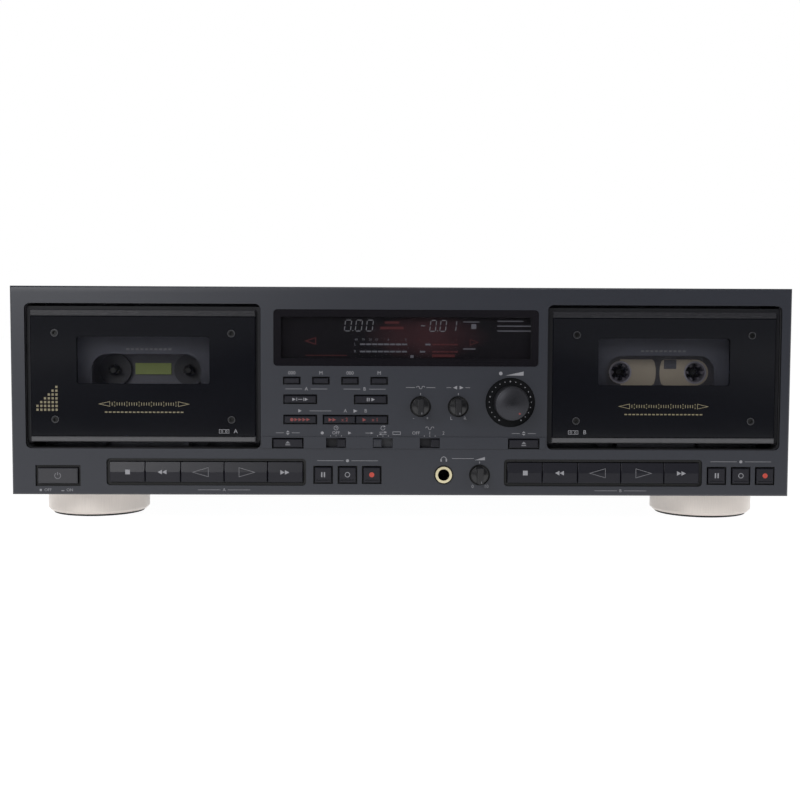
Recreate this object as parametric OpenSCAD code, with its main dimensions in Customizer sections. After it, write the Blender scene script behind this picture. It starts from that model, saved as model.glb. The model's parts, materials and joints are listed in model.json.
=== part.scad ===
// Double cassette deck: a full width hi-fi component with two tape doors,
// a display, rows of keys, level knobs and a headphone socket on its front.
// X runs to the right, Y to the back and Z up. The feet stand on Z = 0.
// Front features are placed by u (from the panel's middle) and v (from its lower edge).

/* [Cabinet] */
// Width of the panel between the two door openings
middle_w = 158.2; // [150:0.2:172]
// Width of the panel outside a door opening
panel_side = 6.5; // [5:0.1:12]
// Height of the panel under the door openings, where the key rows are
key_strip_h = 25.6; // [25:0.1:32]
// Height of the panel over the door openings
panel_top = 9.4; // [8:0.1:16]
// Thickness of the front panel's wall
panel_t = 3; // [2.6:0.1:3.4]
// Depth from the panel's face to the rear panel's outer face
body_d = 270; // [240:1:320]
// Thickness of the folded steel sheet
sheet_t = 1.2; // [0.8:0.1:1.6]
// Height of the space under the cabinet
foot_h = 15; // [10:0.5:20]
// Diameter of a foot
foot_dia = 58; // [40:1:64]
// Thickness of the rubber pad under a foot
pad_t = 1.2; // [0.8:0.1:2]

/* [Tape doors] */
// Width of a door's opening in the panel
bay_w = 129.4; // [118:0.2:142]
// Height of a door's opening in the panel
bay_h = 80; // [76:0.2:88]
// Gap between a door's smoked lens and the sides of its opening
lens_gap = 2.9; // [2.5:0.1:4.5]
// Gap under a door's face
lens_gap_low = 3.75; // [3.5:0.05:5]
// Gap over a door's face
lens_gap_top = 3.45; // [3:0.05:5]
// Thickness of the lens
lens_t = 2.5; // [2:0.1:2.6]
// Width of the clear window in a door
window_w = 73; // [66:0.5:78]
// Height of the clear window in a door
window_h = 26; // [22:0.5:28]

/* [Display] */
// Gap between the display window and a door opening
display_gap = 6.1; // [4.5:0.1:14]
// Height of the display window
display_h = 31; // [26:0.5:34]

/* [Keys] */
// Width of an outer transport key
transport_key_w = 19.2; // [18:0.1:19.4]
// Width of a play key
play_key_w = 23.6; // [22:0.1:23.8]
// Height of a transport key
transport_key_h = 11.2; // [10:0.1:11.8]
// Size of a square key
square_key = 9.2; // [8:0.1:9.6]
// Width of a small counter key
counter_key_w = 8.2; // [7:0.1:9]
// Width of a mode key
mode_key_w = 17.2; // [15:0.1:17.6]
// Width of the power key
power_key_w = 21.8; // [19:0.1:22.4]
// Height that a key stands out of the panel
key_proud = 0.8; // [0.6:0.1:1.4]
// How far the top edge of a transport key leans back
key_lean = 1.1; // [0:0.1:1.3]

/* [Knobs and sockets] */
// Diameter of a small knob
small_knob_dia = 9.6; // [8:0.1:10.4]
// Diameter of the record level knob
level_knob_dia = 18.6; // [15:0.1:20]
// Length of the record level knob in front of the panel
level_knob_len = 12; // [9:0.5:15]
// Diameter of a phono socket's barrel
phono_dia = 8.3; // [8:0.1:8.6]
// Diameter of the headphone socket's bore
phones_bore_dia = 6.4; // [6.3:0.05:6.6]

/* [Hidden] */
$fn = 48;

// Clearances
// Between a moving moulding and the hole it works in
slip = 0.35;
// Between a turning pin or shaft and its bearing
run = 0.2;
// Between a fastener or a pressed-in solid and its hole
seat = 0.05;

// Where things stand
panel_w = 2 * (bay_w + panel_side) + middle_w;
panel_h = key_strip_h + bay_h + panel_top;
deck_pitch = bay_w + middle_w;
socket_proud = 8;
total_d = level_knob_len + body_d + socket_proud;
panel_y = level_knob_len - total_d / 2;
panel_z = foot_h;
rear_y = panel_y + body_d;
rim_t = 2.5;
rim_d = 16;
edge_chamfer = 0.8;
cover_gap = 2;
cover_x = panel_w / 2 - cover_gap;
cover_top = panel_h - cover_gap;
front_flange_h = 4.5;
side_flange_h = 22;
back_flange_h = 12;
lip_h = 10;

// Layout of the front
layout_shift = 1.2;
deck_u = [layout_shift - deck_pitch / 2, layout_shift + deck_pitch / 2];
bay_v = key_strip_h + bay_h / 2;
bay_r = 3;
bay_wall = 2;
bay_d = 14;
recess_d = 1.5;
band_v = 29.25;
band_h = 6.5;
band_proud = 0.6;
band_end_gap = 0.7;
band_u = [
    deck_u[0] + bay_w / 2 + band_end_gap,
    deck_u[1] - bay_w / 2 - band_end_gap
];
display_off = 1;
display_u = layout_shift + display_off;
display_v = 87.15;
display_w = middle_w - 2 * display_gap;
display_r = 2;
display_t = 2;
display_ledge = 4;
display_sunk = 0.2;
counter_key_h = 2.9;
mode_key_h = 3.9;
door_key_h = 4.6;
power_key_h = 8.6;
usual_middle_w = 158.2;
// Spreads a control across the space between the doors
function spread(u) = layout_shift + (u - layout_shift) * middle_w / usual_middle_w;
counter_u = spread(-60.75);
counter_pitch = 16.05 * middle_w / usual_middle_w;
counter_v = 63.5;
mode_v = 53.2;
skip_u = spread(-56.1);
auto_pause_u = spread(-17.2);
dub_v = 42;
dub_pair_u = spread(-25.6);
door_key_u = [spread(-62.95), spread(67.5)];
door_key_v = 28.9;
power_edge = 25.2;
square_edge = 26.6;
transport_step = [81.8, 76.6];
square_step = 78;
phones_step = [68.6, 19.9];
power_u = power_edge - panel_w / 2;
power_v = 10.5;
transport_u = [power_u + transport_step[0], panel_w / 2 - square_edge - transport_step[1]];
transport_v = 12.7;
transport_r = 2;
square_u = [transport_u[0] + square_step, panel_w / 2 - square_edge];
square_pitch = 13.45;
square_v = 11.3;
slider_u = spread(-36.35);
slider_pitch = 25.9 * middle_w / usual_middle_w;
slider_v = 29.1;
slider_slot = [11, 5.5];
slider_knob = [4.5, 4.4];
slider_travel = slider_slot[0] - slider_knob[0] - 2 * slip + 0.2;
phones_v = 11.5;
phones_level_u = transport_u[1] - phones_step[0];
phones_pos = [phones_level_u - phones_step[1], phones_v];
small_knob_v = 49.4;
small_knob_pos = [
    [spread(10.3), small_knob_v], [spread(31.1), small_knob_v], [phones_level_u, phones_v]
];
level_knob_pos = [spread(59.9), 51.8];
small_knob_proud = 8;
// A small knob's grip bar, the cone beside it and the straight edge under the cone
knob_bar_w = 3.4;
knob_cone_r = 2.1;
knob_cone_proud = 3;
knob_skirt = 1.5;
// Rise of the level knob's domed face
knob_dome = 0.9;
level_ring_dia = 27.5;
ring_sunk = 0.6;

// Keys
key_margin = 0.75;
square_margin = 0.85;
power_margin = 1.5;
row_margin = 1.9;
key_join = 0.4;
key_chamfer = 0.4;
// Groove across the foot of a square key: height, depth, share of the key's width, drop
key_groove_h = 0.5;
key_groove_d = 0.4;
key_groove_share = 0.8;
key_groove_drop = 0.33;
flange_t = 1.2;
flange_lip = 1;
flange_gap = 0.2;
stem = 3;
key_travel = 0.8;
power_travel = 3;
board_t = 1.6;
board_y = rim_d - board_t;
stem_end = 9;
press_gap = 0.3;
switch_size = 6;

// Doors, in the door's own frame: y back from the panel's face, v as on the panel
lens_y = 0.8;
strip_top_h = 3.5;
strip_low_h = 2.8;
strip_proud = 0.2;
lens_w = bay_w - 2 * lens_gap;
lens_v0 = key_strip_h + lens_gap_low;
lens_v1 = key_strip_h + bay_h - lens_gap_top;
carrier_y = lens_y + lens_t;
carrier_t = 3;
carrier_back = carrier_y + carrier_t;
carrier_w = bay_w - 1;
carrier_v0 = lens_v0 - 0.4;
carrier_v1 = lens_v1 + 1.8;
carrier_corner = 1.2;
window_v = lens_v0 + 45;
window_frame = 3;
hinge_y = carrier_back + 1;
hinge_v = lens_v0 + 0.95;
hinge_r = 1.5;
ear_w = 2.7;
ear_h = 3.6;
ear_front = 1.5;
ear_back = 2;
lens_screw_edge = 13.3;
lens_screw_u = lens_w / 2 - lens_screw_edge;
lens_screw_v = [lens_v0 + 12.25, lens_v1 - 12.95];
lens_screw_dia = 4;
hex_dia = 2.3;
stabiliser_y = carrier_back + 4.1;
stabiliser_t = 1.6;
stabiliser_edge = [5, 6];
arch_w = 61;
arch_top = window_v + 3.25;
arch_r = 9;

// The standard cassette that the holders are made for
cassette_w = 100.4;
cassette_h = 63.8;
cassette_t = 8.7;
cassette_thick = 12;
cassette_y = stabiliser_y + 6.8;
cassette_v = lens_v0 + 3.85;
nose_h = 18;
nose_w = [68, 62];
hub_rise = 34.8;
hub_pitch = 42.5;
hub_v = cassette_v + hub_rise;
hub_hole_r = 5.5;
hub_r = 10.9;
hub_bore_r = 4.9;
hub_tooth_r = 3.6;
hub_tooth_w = 1.4;
hub_inset = 1;
// The sunk field round the hubs
view_r = 7.5;
view_sunk = 0.4;
holder_gap = 0.5;
holder_wall = 1.5;
holder_v1 = cassette_v + 58.8;
holder_lip = 5;
pad_w = 12;

// Tape mechanisms
mech_y = cassette_y + 15.8;
mech_t = 1.5;
mech_w = 124;
mech_v = [key_strip_h - 4.6, cover_top - sheet_t - 2 * slip];
leg_u = 50;
leg_w = 8;
leg_root = 0.5;
spindle_tip_y = cassette_y + 5.8;
spindle_r = 3;
fin_r = 3.25;
spindle_shaft_r = 2;
flywheel_u = 26;
flywheel_v = hub_v - 25.5;
flywheel_r = 20;
flywheel_t = 6;
flywheel_gap = 4.5;
capstan_r = 1.25;
capstan_len = 20;
capstan_reach = 5;
back_gap = 16;
back_plate_h = 50;
back_plate_over = 29;
post_r = 2.5;
post_out = 24;
post_v = [flywheel_v - 18, flywheel_v + 24];
motor_r = 13;
motor_len = 26;
motor_v = hub_v + 20;
head_bar = [44, 13, 3];
head_bar_v = cassette_v - 7.2;
head_size = [13, 10, 4.2];
head_v = cassette_v - 3.6;
head_reach = 14;
roller_r = 4;
roller_t = 6;
roller_axle_r = 1;
roller_v = cassette_v - 4.8;
roller_out = 3;
belt_t = 0.8;
belt_h = 4;
reflector = [20.4, 6.4];

// Screws
screw_r = 1.6;
screw_head_r = 3.6;
screw_head_t = 1.5;
screw_len = 7;
side_screw_y = [70, 215];
side_screw_v = 14;
rear_screw_u = cover_x - 63;
rear_screw_v = 7;
lip_screw_edge = 23;
lip_screw_u = [lip_screw_edge - cover_x, 0, cover_x - lip_screw_edge];
lip_screw_v = cover_top - 6;

// Feet
foot_u = panel_w / 2 - 38;
foot_inset = 45;
foot_bevel = 1.6;
foot_well_r = 9;
foot_floor = 4;
pad_edge = 3;
pad_r = [15, foot_dia / 2 - pad_edge];

// Rear sockets
phono_pitch = 16;
phono_u = [cover_x - 63, cover_x - 63 + phono_pitch];
phono_v = [56 + phono_pitch, 56];
phono_block = [38, 10, 38];
phono_collar = 1;
phono_bore_r = 1.7;
gland_u = 53 - cover_x;
gland_v = 40;
gland_r = 7;
gland_bore_r = 3.4;
gland_proud = 6;

// Vents
vent_pitch = 6;
vent_slot_w = 2.4;
vent_slot_l = 14;
base_vent_u = -100;
base_vent_y = body_d - 125;
top_vent_u = 120;
top_vent_y = 140;
top_vent_l = 32;
top_vent_row = 40;
rear_vent_pos = [-80, 60];
rear_vent_l = 30;

// Inside
knob_shaft_r = 3;
phones_rim_r = 4.55;
phones_len = 28;
phones_proud = 0.8;
phones_body = 13;
board_rise = 11;
main_board = [180, 130];
main_board_place = [-60, 95];
standoffs = [for (i = [0, 1], j = [0, 1])
    [main_board_place[0] + 8 + i * (main_board[0] - 16),
     main_board_place[1] + 8 + j * (main_board[1] - 16)]];
transformer_place = [53 - cover_x, body_d - 65];
core_w = 62;
core_t = 24;
core_h = 52;
limb = 18;
coil_slot_w = 12;
coil_slot_h = 30;
foot_places = [for (s = [-1, 1], y = [panel_y + foot_inset, rear_y - foot_inset]) [s * foot_u, y]];

// Colours
panel_colour = [0.26, 0.27, 0.29];
dark = [0.12, 0.12, 0.14];
key_colour = [0.17, 0.17, 0.19];
steel = [0.62, 0.63, 0.65];
board_colour = [0.3, 0.4, 0.25];
silver = [0.78, 0.75, 0.72];
gold = [0.85, 0.76, 0.55];
smoke = [0.1, 0.1, 0.12, 0.6];

transport_w = [transport_key_w, transport_key_w, play_key_w, play_key_w, transport_key_w];
transport_names = ["stop", "rewind", "reverse", "play", "forward"];
square_names = ["pause", "mute", "record"];
deck_names = ["deck_a", "deck_b"];
function total(list, count) = count == 0 ? 0 : list[count - 1] + total(list, count - 1);
transport_row_w = total(transport_w, 5) + 4 * key_join;
function transport_key_u(deck, i) = transport_u[deck] - transport_row_w / 2
    + total(transport_w, i) + i * key_join + transport_w[i] / 2;
dub_pair_w = 2 * mode_key_w + key_join;
function dub_u(i) = dub_pair_u + (i - 0.5) * (mode_key_w + key_join);

// Each key: name, [u, v], [width, height], side lip, travel
KEYS = concat(
    [["power_button", [power_u, power_v], [power_key_w, power_key_h], flange_lip, power_travel]],
    [for (d = [0, 1], i = [0:4]) [
        str(deck_names[d], "_", transport_names[i], "_key"),
        [transport_key_u(d, i), transport_v], [transport_w[i], transport_key_h], 0, key_travel]],
    [for (d = [0, 1], i = [0:2]) [
        str(deck_names[d], "_", square_names[i], "_key"),
        [square_u[d] + (i - 1) * square_pitch, square_v], [square_key, square_key - 0.8],
        flange_lip, key_travel]],
    [for (i = [0:3]) [
        str("counter_key_", i + 1),
        [counter_u + i * counter_pitch, counter_v], [counter_key_w, counter_key_h],
        flange_lip, key_travel]],
    [["blank_skip_key", [skip_u, mode_v], [mode_key_w, mode_key_h], flange_lip, key_travel]],
    [["auto_pause_key", [auto_pause_u, mode_v], [mode_key_w, mode_key_h], flange_lip, key_travel]],
    [["start_key", [skip_u, dub_v], [mode_key_w, mode_key_h], flange_lip, key_travel]],
    [["dub_fast_key", [dub_u(0), dub_v], [mode_key_w, mode_key_h], 0, key_travel]],
    [["dub_normal_key", [dub_u(1), dub_v], [mode_key_w, mode_key_h], 0, key_travel]],
    [for (d = [0, 1]) [
        str("door_key_", d == 0 ? "a" : "b"),
        [door_key_u[d], door_key_v], [mode_key_w - 1.2, door_key_h], flange_lip, key_travel]]
);

// Each opening in which one or more keys stand: [u, v], [recess w, h], [hole w, h], corner
function opening(pos, size, margin, corner = 0) =
    [pos, size + [2 * margin, 2 * margin], size + [2 * slip, 2 * slip], corner];
OPENINGS = concat(
    [opening([power_u, power_v], [power_key_w, power_key_h], power_margin)],
    [for (d = [0, 1])
        opening([transport_u[d], transport_v], [transport_row_w, transport_key_h], row_margin,
            transport_r)],
    [for (d = [0, 1], i = [-1:1])
        opening([square_u[d] + i * square_pitch, square_v],
            [square_key, square_key - 0.8], square_margin)],
    [for (i = [0:3])
        opening([counter_u + i * counter_pitch, counter_v], [counter_key_w, counter_key_h], key_margin)],
    [opening([skip_u, mode_v], [mode_key_w, mode_key_h], key_margin)],
    [opening([auto_pause_u, mode_v], [mode_key_w, mode_key_h], key_margin)],
    [opening([skip_u, dub_v], [mode_key_w, mode_key_h], key_margin)],
    [opening([dub_pair_u, dub_v], [dub_pair_w, mode_key_h], key_margin)],
    [for (d = [0, 1])
        opening([door_key_u[d], door_key_v], [mode_key_w - 1.2, door_key_h], key_margin)]
);

// Each slide switch: name, slot middle, side it rests at
SLIDERS = [
    ["timer_switch", slider_u, 1],
    ["direction_switch", slider_u + slider_pitch, -1],
    ["noise_switch", slider_u + 2 * slider_pitch, 1]
];
SMALL_KNOBS = ["bias_knob", "balance_knob", "phones_level_knob"];
REELS = [for (d = [0, 1], s = [-1, 1])
    [str("reel_", d == 0 ? "a" : "b", s < 0 ? "_left" : "_right"), d, s]];

// Places its children at u, v on the panel, a depth behind its face
module on_panel(pos, depth = 0) {
    translate([pos[0], panel_y + depth, panel_z + pos[1]]) children();
}

// Stands a flat outline up in the panel's plane and gives it thickness backwards
module slab(t) {
    translate([0, t, 0]) rotate([90, 0, 0]) linear_extrude(t) children();
}

// A cylinder whose axis runs backwards
module rod(r, len) {
    rotate([-90, 0, 0]) cylinder(r = r, h = len);
}

// A cone whose axis runs backwards
module cone(r1, r2, len) {
    rotate([-90, 0, 0]) cylinder(r1 = r1, r2 = r2, h = len);
}

// A box with its middle at u, v and its front at depth 0
module block(w, t, h) {
    translate([-w / 2, 0, -h / 2]) cube([w, t, h]);
}

function rounded(w, h, r, steps = 5) = [
    for (c = [[1, 1, 0], [-1, 1, 90], [-1, -1, 180], [1, -1, 270]], i = [0:steps])
        [c[0] * (w / 2 - r) + r * cos(c[2] + 90 * i / steps),
         c[1] * (h / 2 - r) + r * sin(c[2] + 90 * i / steps)]
];

module rounded_slab(w, h, r, t) {
    slab(t) polygon(rounded(w, h, r));
}

// A box whose front edges are bevelled
module bevelled(w, h, t, bevel) {
    hull() {
        block(w - 2 * bevel, 0.02, h - 2 * bevel);
        translate([0, bevel, 0]) block(w, t - bevel, h);
    }
}

module front_panel() {
    color(panel_colour)
    difference() {
        union() {
            on_panel([0, panel_h / 2]) bevelled(panel_w, panel_h, panel_t, edge_chamfer);
            panel_rim();
            on_panel([(band_u[0] + band_u[1]) / 2, band_v], -band_proud)
                block(band_u[1] - band_u[0], band_proud + 0.5, band_h);
            for (d = [0, 1])
                on_panel([deck_u[d], bay_v], panel_t - 0.5)
                    rounded_slab(bay_w + 2 * bay_wall, bay_h + 2 * bay_wall, bay_r + bay_wall,
                        bay_d - panel_t + 0.5);
        }
        for (d = [0, 1]) {
            on_panel([deck_u[d], bay_v], -2) rounded_slab(bay_w, bay_h, bay_r, bay_d + 4);
            on_panel([deck_u[d], hinge_v], hinge_y)
                rotate([0, 90, 0]) cylinder(r = hinge_r + run, h = bay_w + 3 * bay_wall, center = true);
        }
        for (o = OPENINGS) key_opening(o);
        for (s = SLIDERS)
            on_panel([s[1], slider_v], -2) block(slider_slot[0], panel_t + 4, slider_slot[1]);
        display_opening();
        knob_openings();
    }
}

module panel_rim() {
    difference() {
        on_panel([0, panel_h / 2], panel_t - 0.5) block(panel_w, rim_d - panel_t + 0.5, panel_h);
        on_panel([0, panel_h / 2], 0)
            block(panel_w - 2 * rim_t, rim_d + 1, panel_h - 2 * rim_t);
    }
}

module key_opening(o) {
    if (o[3] > 0)
        on_panel(o[0], -2) rounded_slab(o[1][0], o[1][1], o[3], recess_d + 2);
    else
        on_panel(o[0], -2) block(o[1][0], recess_d + 2, o[1][1]);
    on_panel(o[0], 0) block(o[2][0], panel_t + 2, o[2][1]);
}

module display_opening() {
    on_panel([display_u, display_v], -1)
        rounded_slab(display_w + 2 * seat, display_h + 2 * seat, display_r,
            display_sunk + display_t + 1);
    on_panel([display_u, display_v], 0)
        block(display_w - 2 * display_ledge, panel_t + 2, display_h - 2 * display_ledge);
}

module knob_openings() {
    for (p = small_knob_pos) {
        on_panel(p, -1) rod(small_knob_dia / 2 + 1, recess_d + 1);
        on_panel(p, 0) rod(knob_shaft_r + slip, panel_t + 2);
    }
    on_panel(level_knob_pos, -1) rod(level_ring_dia / 2, ring_sunk + 1);
    on_panel(level_knob_pos, 0) rod(knob_shaft_r + slip, panel_t + 2);
    on_panel(phones_pos, -1) rod(phones_rim_r + 0.8, ring_sunk + 1);
    on_panel(phones_pos, 0) rod(phones_rim_r + seat, panel_t + 2);
}

module chassis() {
    base_w = 2 * (cover_x - sheet_t);
    base_len = body_d - rim_d - sheet_t;
    color(steel)
    difference() {
        union() {
            translate([-base_w / 2, panel_y + rim_d, panel_z]) cube([base_w, base_len, sheet_t]);
            translate([-base_w / 2, panel_y + rim_d, panel_z]) cube([base_w, sheet_t, front_flange_h]);
            translate([-base_w / 2, rear_y - 2 * sheet_t, panel_z])
                cube([base_w, sheet_t, back_flange_h]);
            for (s = [0, 1])
                translate([s * (base_w - sheet_t) - base_w / 2, panel_y + rim_d, panel_z])
                    cube([sheet_t, base_len, side_flange_h]);
            for (p = standoffs)
                on_panel([p[0], 0], p[1]) cylinder(r = 3, h = board_rise);
        }
        for (p = foot_places)
            translate([p[0], p[1], panel_z - 1]) cylinder(r = screw_r + seat, h = sheet_t + 2);
        side_screws() rod(screw_r + seat, 10);
        for (s = [-1, 1])
            on_panel([s * rear_screw_u, rear_screw_v], body_d - 10) rod(screw_r + seat, 20);
        for (r = [-3:3], c = [0:5])
            translate([base_vent_u + r * vent_pitch, panel_y + base_vent_y + c * 3 * vent_pitch,
                panel_z - 1])
                vent_slot(vent_slot_l, sheet_t + 2);
    }
}

module vent_slot(len, t) {
    translate([-vent_slot_w / 2, 0, 0]) cube([vent_slot_w, len, t]);
}

// Places its children at the cover's four side screws, axis inwards
module side_screws() {
    for (s = [-1, 1], y = side_screw_y)
        translate([s * (cover_x + 0.01), panel_y + y, panel_z + side_screw_v])
            rotate([0, 0, s * 90]) children();
}

module top_cover() {
    len = body_d - rim_d - sheet_t;
    color(dark)
    difference() {
        union() {
            on_panel([0, cover_top - sheet_t / 2], rim_d) block(2 * cover_x, len, sheet_t);
            for (s = [-1, 1])
                on_panel([s * (cover_x - sheet_t / 2), (cover_top + sheet_t) / 2], rim_d)
                    block(sheet_t, len, cover_top - sheet_t);
            on_panel([0, cover_top - lip_h / 2], body_d - 2 * sheet_t)
                block(2 * cover_x, sheet_t, lip_h);
        }
        side_screws() translate([0, -1, 0]) rod(screw_r + 0.3, 10);
        for (u = lip_screw_u)
            on_panel([u, lip_screw_v], body_d - 10) rod(screw_r + seat, 20);
        for (g = [-1, 1], r = [-11:11], c = [0, 1])
            translate([g * top_vent_u + r * vent_pitch, panel_y + top_vent_y + c * top_vent_row,
                panel_z + cover_top - 5])
                vent_slot(top_vent_l, 10);
    }
}

module rear_panel() {
    color(dark)
    difference() {
        on_panel([0, cover_top / 2], body_d - sheet_t) block(2 * cover_x, sheet_t, cover_top);
        for (u = phono_u, v = phono_v)
            on_panel([u, v], body_d - 5) rod(phono_dia / 2 + phono_collar, 10);
        on_panel([gland_u, gland_v], body_d - 5) rod(gland_r + seat, 10);
        for (u = lip_screw_u)
            on_panel([u, lip_screw_v], body_d - 5) rod(screw_r + 0.3, 10);
        for (s = [-1, 1])
            on_panel([s * rear_screw_u, rear_screw_v], body_d - 5) rod(screw_r + 0.3, 10);
        for (r = [-5:5])
            on_panel([rear_vent_pos[0] + r * vent_pitch, rear_vent_pos[1]], body_d - 5)
                block(vent_slot_w, 10, rear_vent_l);
    }
}

module display_window() {
    color(smoke)
    on_panel([display_u, display_v], display_sunk)
        rounded_slab(display_w, display_h, display_r, display_t);
}

module display_module() {
    glass_t = 6;
    holder_t = board_y - panel_t - glass_t;
    color(dark) {
        on_panel([display_u, display_v], panel_t)
            block(display_w - 4, glass_t, display_h - 4);
        difference() {
            on_panel([display_u, display_v], panel_t + glass_t)
                block(display_w - 2, holder_t, display_h - 2);
            on_panel([display_u, display_v], panel_t + glass_t - 1)
                block(display_w - 14, holder_t + 2, display_h - 12);
        }
    }
}

module feet() {
    color(silver)
    for (p = foot_places)
        translate([p[0], p[1], 0])
            rotate_extrude()
                polygon([
                    [screw_r + 0.4, foot_h], [foot_dia / 2, foot_h],
                    [foot_dia / 2, pad_t + foot_bevel], [foot_dia / 2 - foot_bevel, pad_t],
                    [foot_well_r, pad_t], [foot_well_r, foot_h - foot_floor],
                    [screw_r + 0.4, foot_h - foot_floor]
                ]);
}

module foot_pads() {
    color(dark)
    for (p = foot_places)
        translate([p[0], p[1], 0]) difference() {
            cylinder(r = pad_r[1], h = pad_t);
            translate([0, 0, -1]) cylinder(r = pad_r[0], h = pad_t + 2);
        }
}

// A pan head screw: head outwards, shank along +y
module screw(len) {
    difference() {
        union() {
            translate([0, -screw_head_t, 0]) cone(screw_head_r - 0.7, screw_head_r, screw_head_t);
            rod(screw_r, len);
        }
        for (a = [0, 90])
            rotate([0, a, 0]) translate([-2, -screw_head_t - 0.1, -0.4]) cube([4, 1, 0.8]);
    }
}

module case_screws() {
    color(steel) {
        side_screws() screw(screw_len);
        for (u = lip_screw_u)
            on_panel([u, lip_screw_v], body_d) rotate([0, 0, 180]) screw(screw_len);
        for (s = [-1, 1])
            on_panel([s * rear_screw_u, rear_screw_v], body_d) rotate([0, 0, 180]) screw(screw_len);
        for (p = foot_places)
            translate([p[0], p[1], foot_h - foot_floor]) rotate([90, 0, 0]) screw(screw_len);
    }
}

module rear_sockets() {
    color(dark) {
        difference() {
            union() {
                on_panel([(phono_u[0] + phono_u[1]) / 2, (phono_v[0] + phono_v[1]) / 2],
                    body_d - sheet_t - phono_block[1])
                    block(phono_block[0], phono_block[1], phono_block[2]);
                for (u = phono_u, v = phono_v) {
                    on_panel([u, v], body_d - sheet_t - 1)
                        rod(phono_dia / 2 + phono_collar - seat, sheet_t + 1);
                    on_panel([u, v], body_d - 1) rod(phono_dia / 2, 1 + socket_proud);
                }
            }
            for (u = phono_u, v = phono_v)
                on_panel([u, v], body_d - 2) rod(phono_bore_r, socket_proud + 4);
        }
        difference() {
            union() {
                on_panel([gland_u, gland_v], body_d - 8) rod(gland_r, 8.5);
                on_panel([gland_u, gland_v], body_d) cone(gland_r + 2, gland_bore_r + 2.4, gland_proud);
                on_panel([gland_u, gland_v], body_d - sheet_t - 3) rod(gland_r + 1.5, 3);
            }
            on_panel([gland_u, gland_v], body_d - 12) rod(gland_bore_r, 24);
        }
    }
}

module headphone_socket() {
    color(gold)
    difference() {
        union() {
            on_panel(phones_pos, -phones_proud) rod(phones_rim_r, panel_t + phones_proud + 1);
            on_panel(phones_pos, panel_t) block(phones_body, phones_len - panel_t, phones_body);
        }
        on_panel(phones_pos, -phones_proud - 1) rod(phones_bore_dia / 2, phones_len + phones_proud - 1);
    }
}

module circuit_boards() {
    centre_u = [deck_u[0] + bay_w / 2 + bay_wall + 2, deck_u[1] - bay_w / 2 - bay_wall - 2];
    board_end = panel_w / 2 - rim_t - 4;
    board_v = [3, mech_v[0] - 0.8];
    color(board_colour) {
        difference() {
            on_panel([0, 0], board_y) slab(board_t) polygon([
                [-board_end, board_v[0]], [board_end, board_v[0]],
                [board_end, board_v[1]], [centre_u[1], board_v[1]],
                [centre_u[1], display_v + display_h / 2], [centre_u[0], display_v + display_h / 2],
                [centre_u[0], board_v[1]], [-board_end, board_v[1]]
            ]);
            on_panel(phones_pos, board_y - 1) block(phones_body + 1, board_t + 2, phones_body + 1);
        }
        for (k = KEYS) key_switch(k);
        for (s = SLIDERS) slide_switch_body(s[1]);
        for (p = concat(small_knob_pos, [level_knob_pos])) potentiometer(p);
        main_board_parts();
    }
}

module key_switch(k) {
    front = stem_end + k[4] + press_gap;
    on_panel(k[1], front) block(switch_size, board_y - front, min(switch_size, k[2][1]));
}

module slide_switch_body(u) {
    on_panel([u, slider_v], board_y - 5) block(20, 5, 8);
}

module potentiometer(p) {
    body = 6;
    difference() {
        on_panel(p, board_y - body) block(11, body, 11);
        on_panel(p, board_y - body - 1) rod(knob_shaft_r + run, body);
    }
}

module main_board_parts() {
    top = panel_z + board_rise + board_t;
    x0 = main_board_place[0];
    y0 = panel_y + main_board_place[1];
    translate([x0, y0, panel_z + board_rise]) cube([main_board[0], main_board[1], board_t]);
    for (i = [0:3]) translate([x0 + 25 + i * 20, y0 + 105, top]) cylinder(r = 6, h = 22);
    for (i = [0:4], j = [0, 1]) translate([x0 + 30 + i * 28, y0 + 25 + j * 40, top]) cube([9, 20, 4]);
    translate([x0 + 120, y0 + 95, top]) cube([50, 3, 32]);
}

module power_transformer() {
    core_y = transformer_place[1] - core_t / 2;
    coil_out = coil_slot_w - 1;
    color(steel)
    on_panel([transformer_place[0], sheet_t + core_h / 2], core_y)
        difference() {
            block(core_w, core_t, core_h);
            for (s = [-1, 1])
                translate([s * (limb + coil_slot_w) / 2, -1, 0])
                    block(coil_slot_w, core_t + 2, coil_slot_h);
        }
    color(gold)
    on_panel([transformer_place[0], sheet_t + core_h / 2], core_y - coil_out)
        difference() {
            block(limb + 2 * coil_slot_w - 1, core_t + 2 * coil_out, coil_slot_h - 1);
            translate([0, coil_out - slip, 0])
                block(limb + 2 * slip, core_t + 2 * slip, coil_slot_h + 1);
        }
}

module tape_mechanisms() {
    for (d = [0, 1]) tape_mechanism(deck_u[d]);
}

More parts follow.
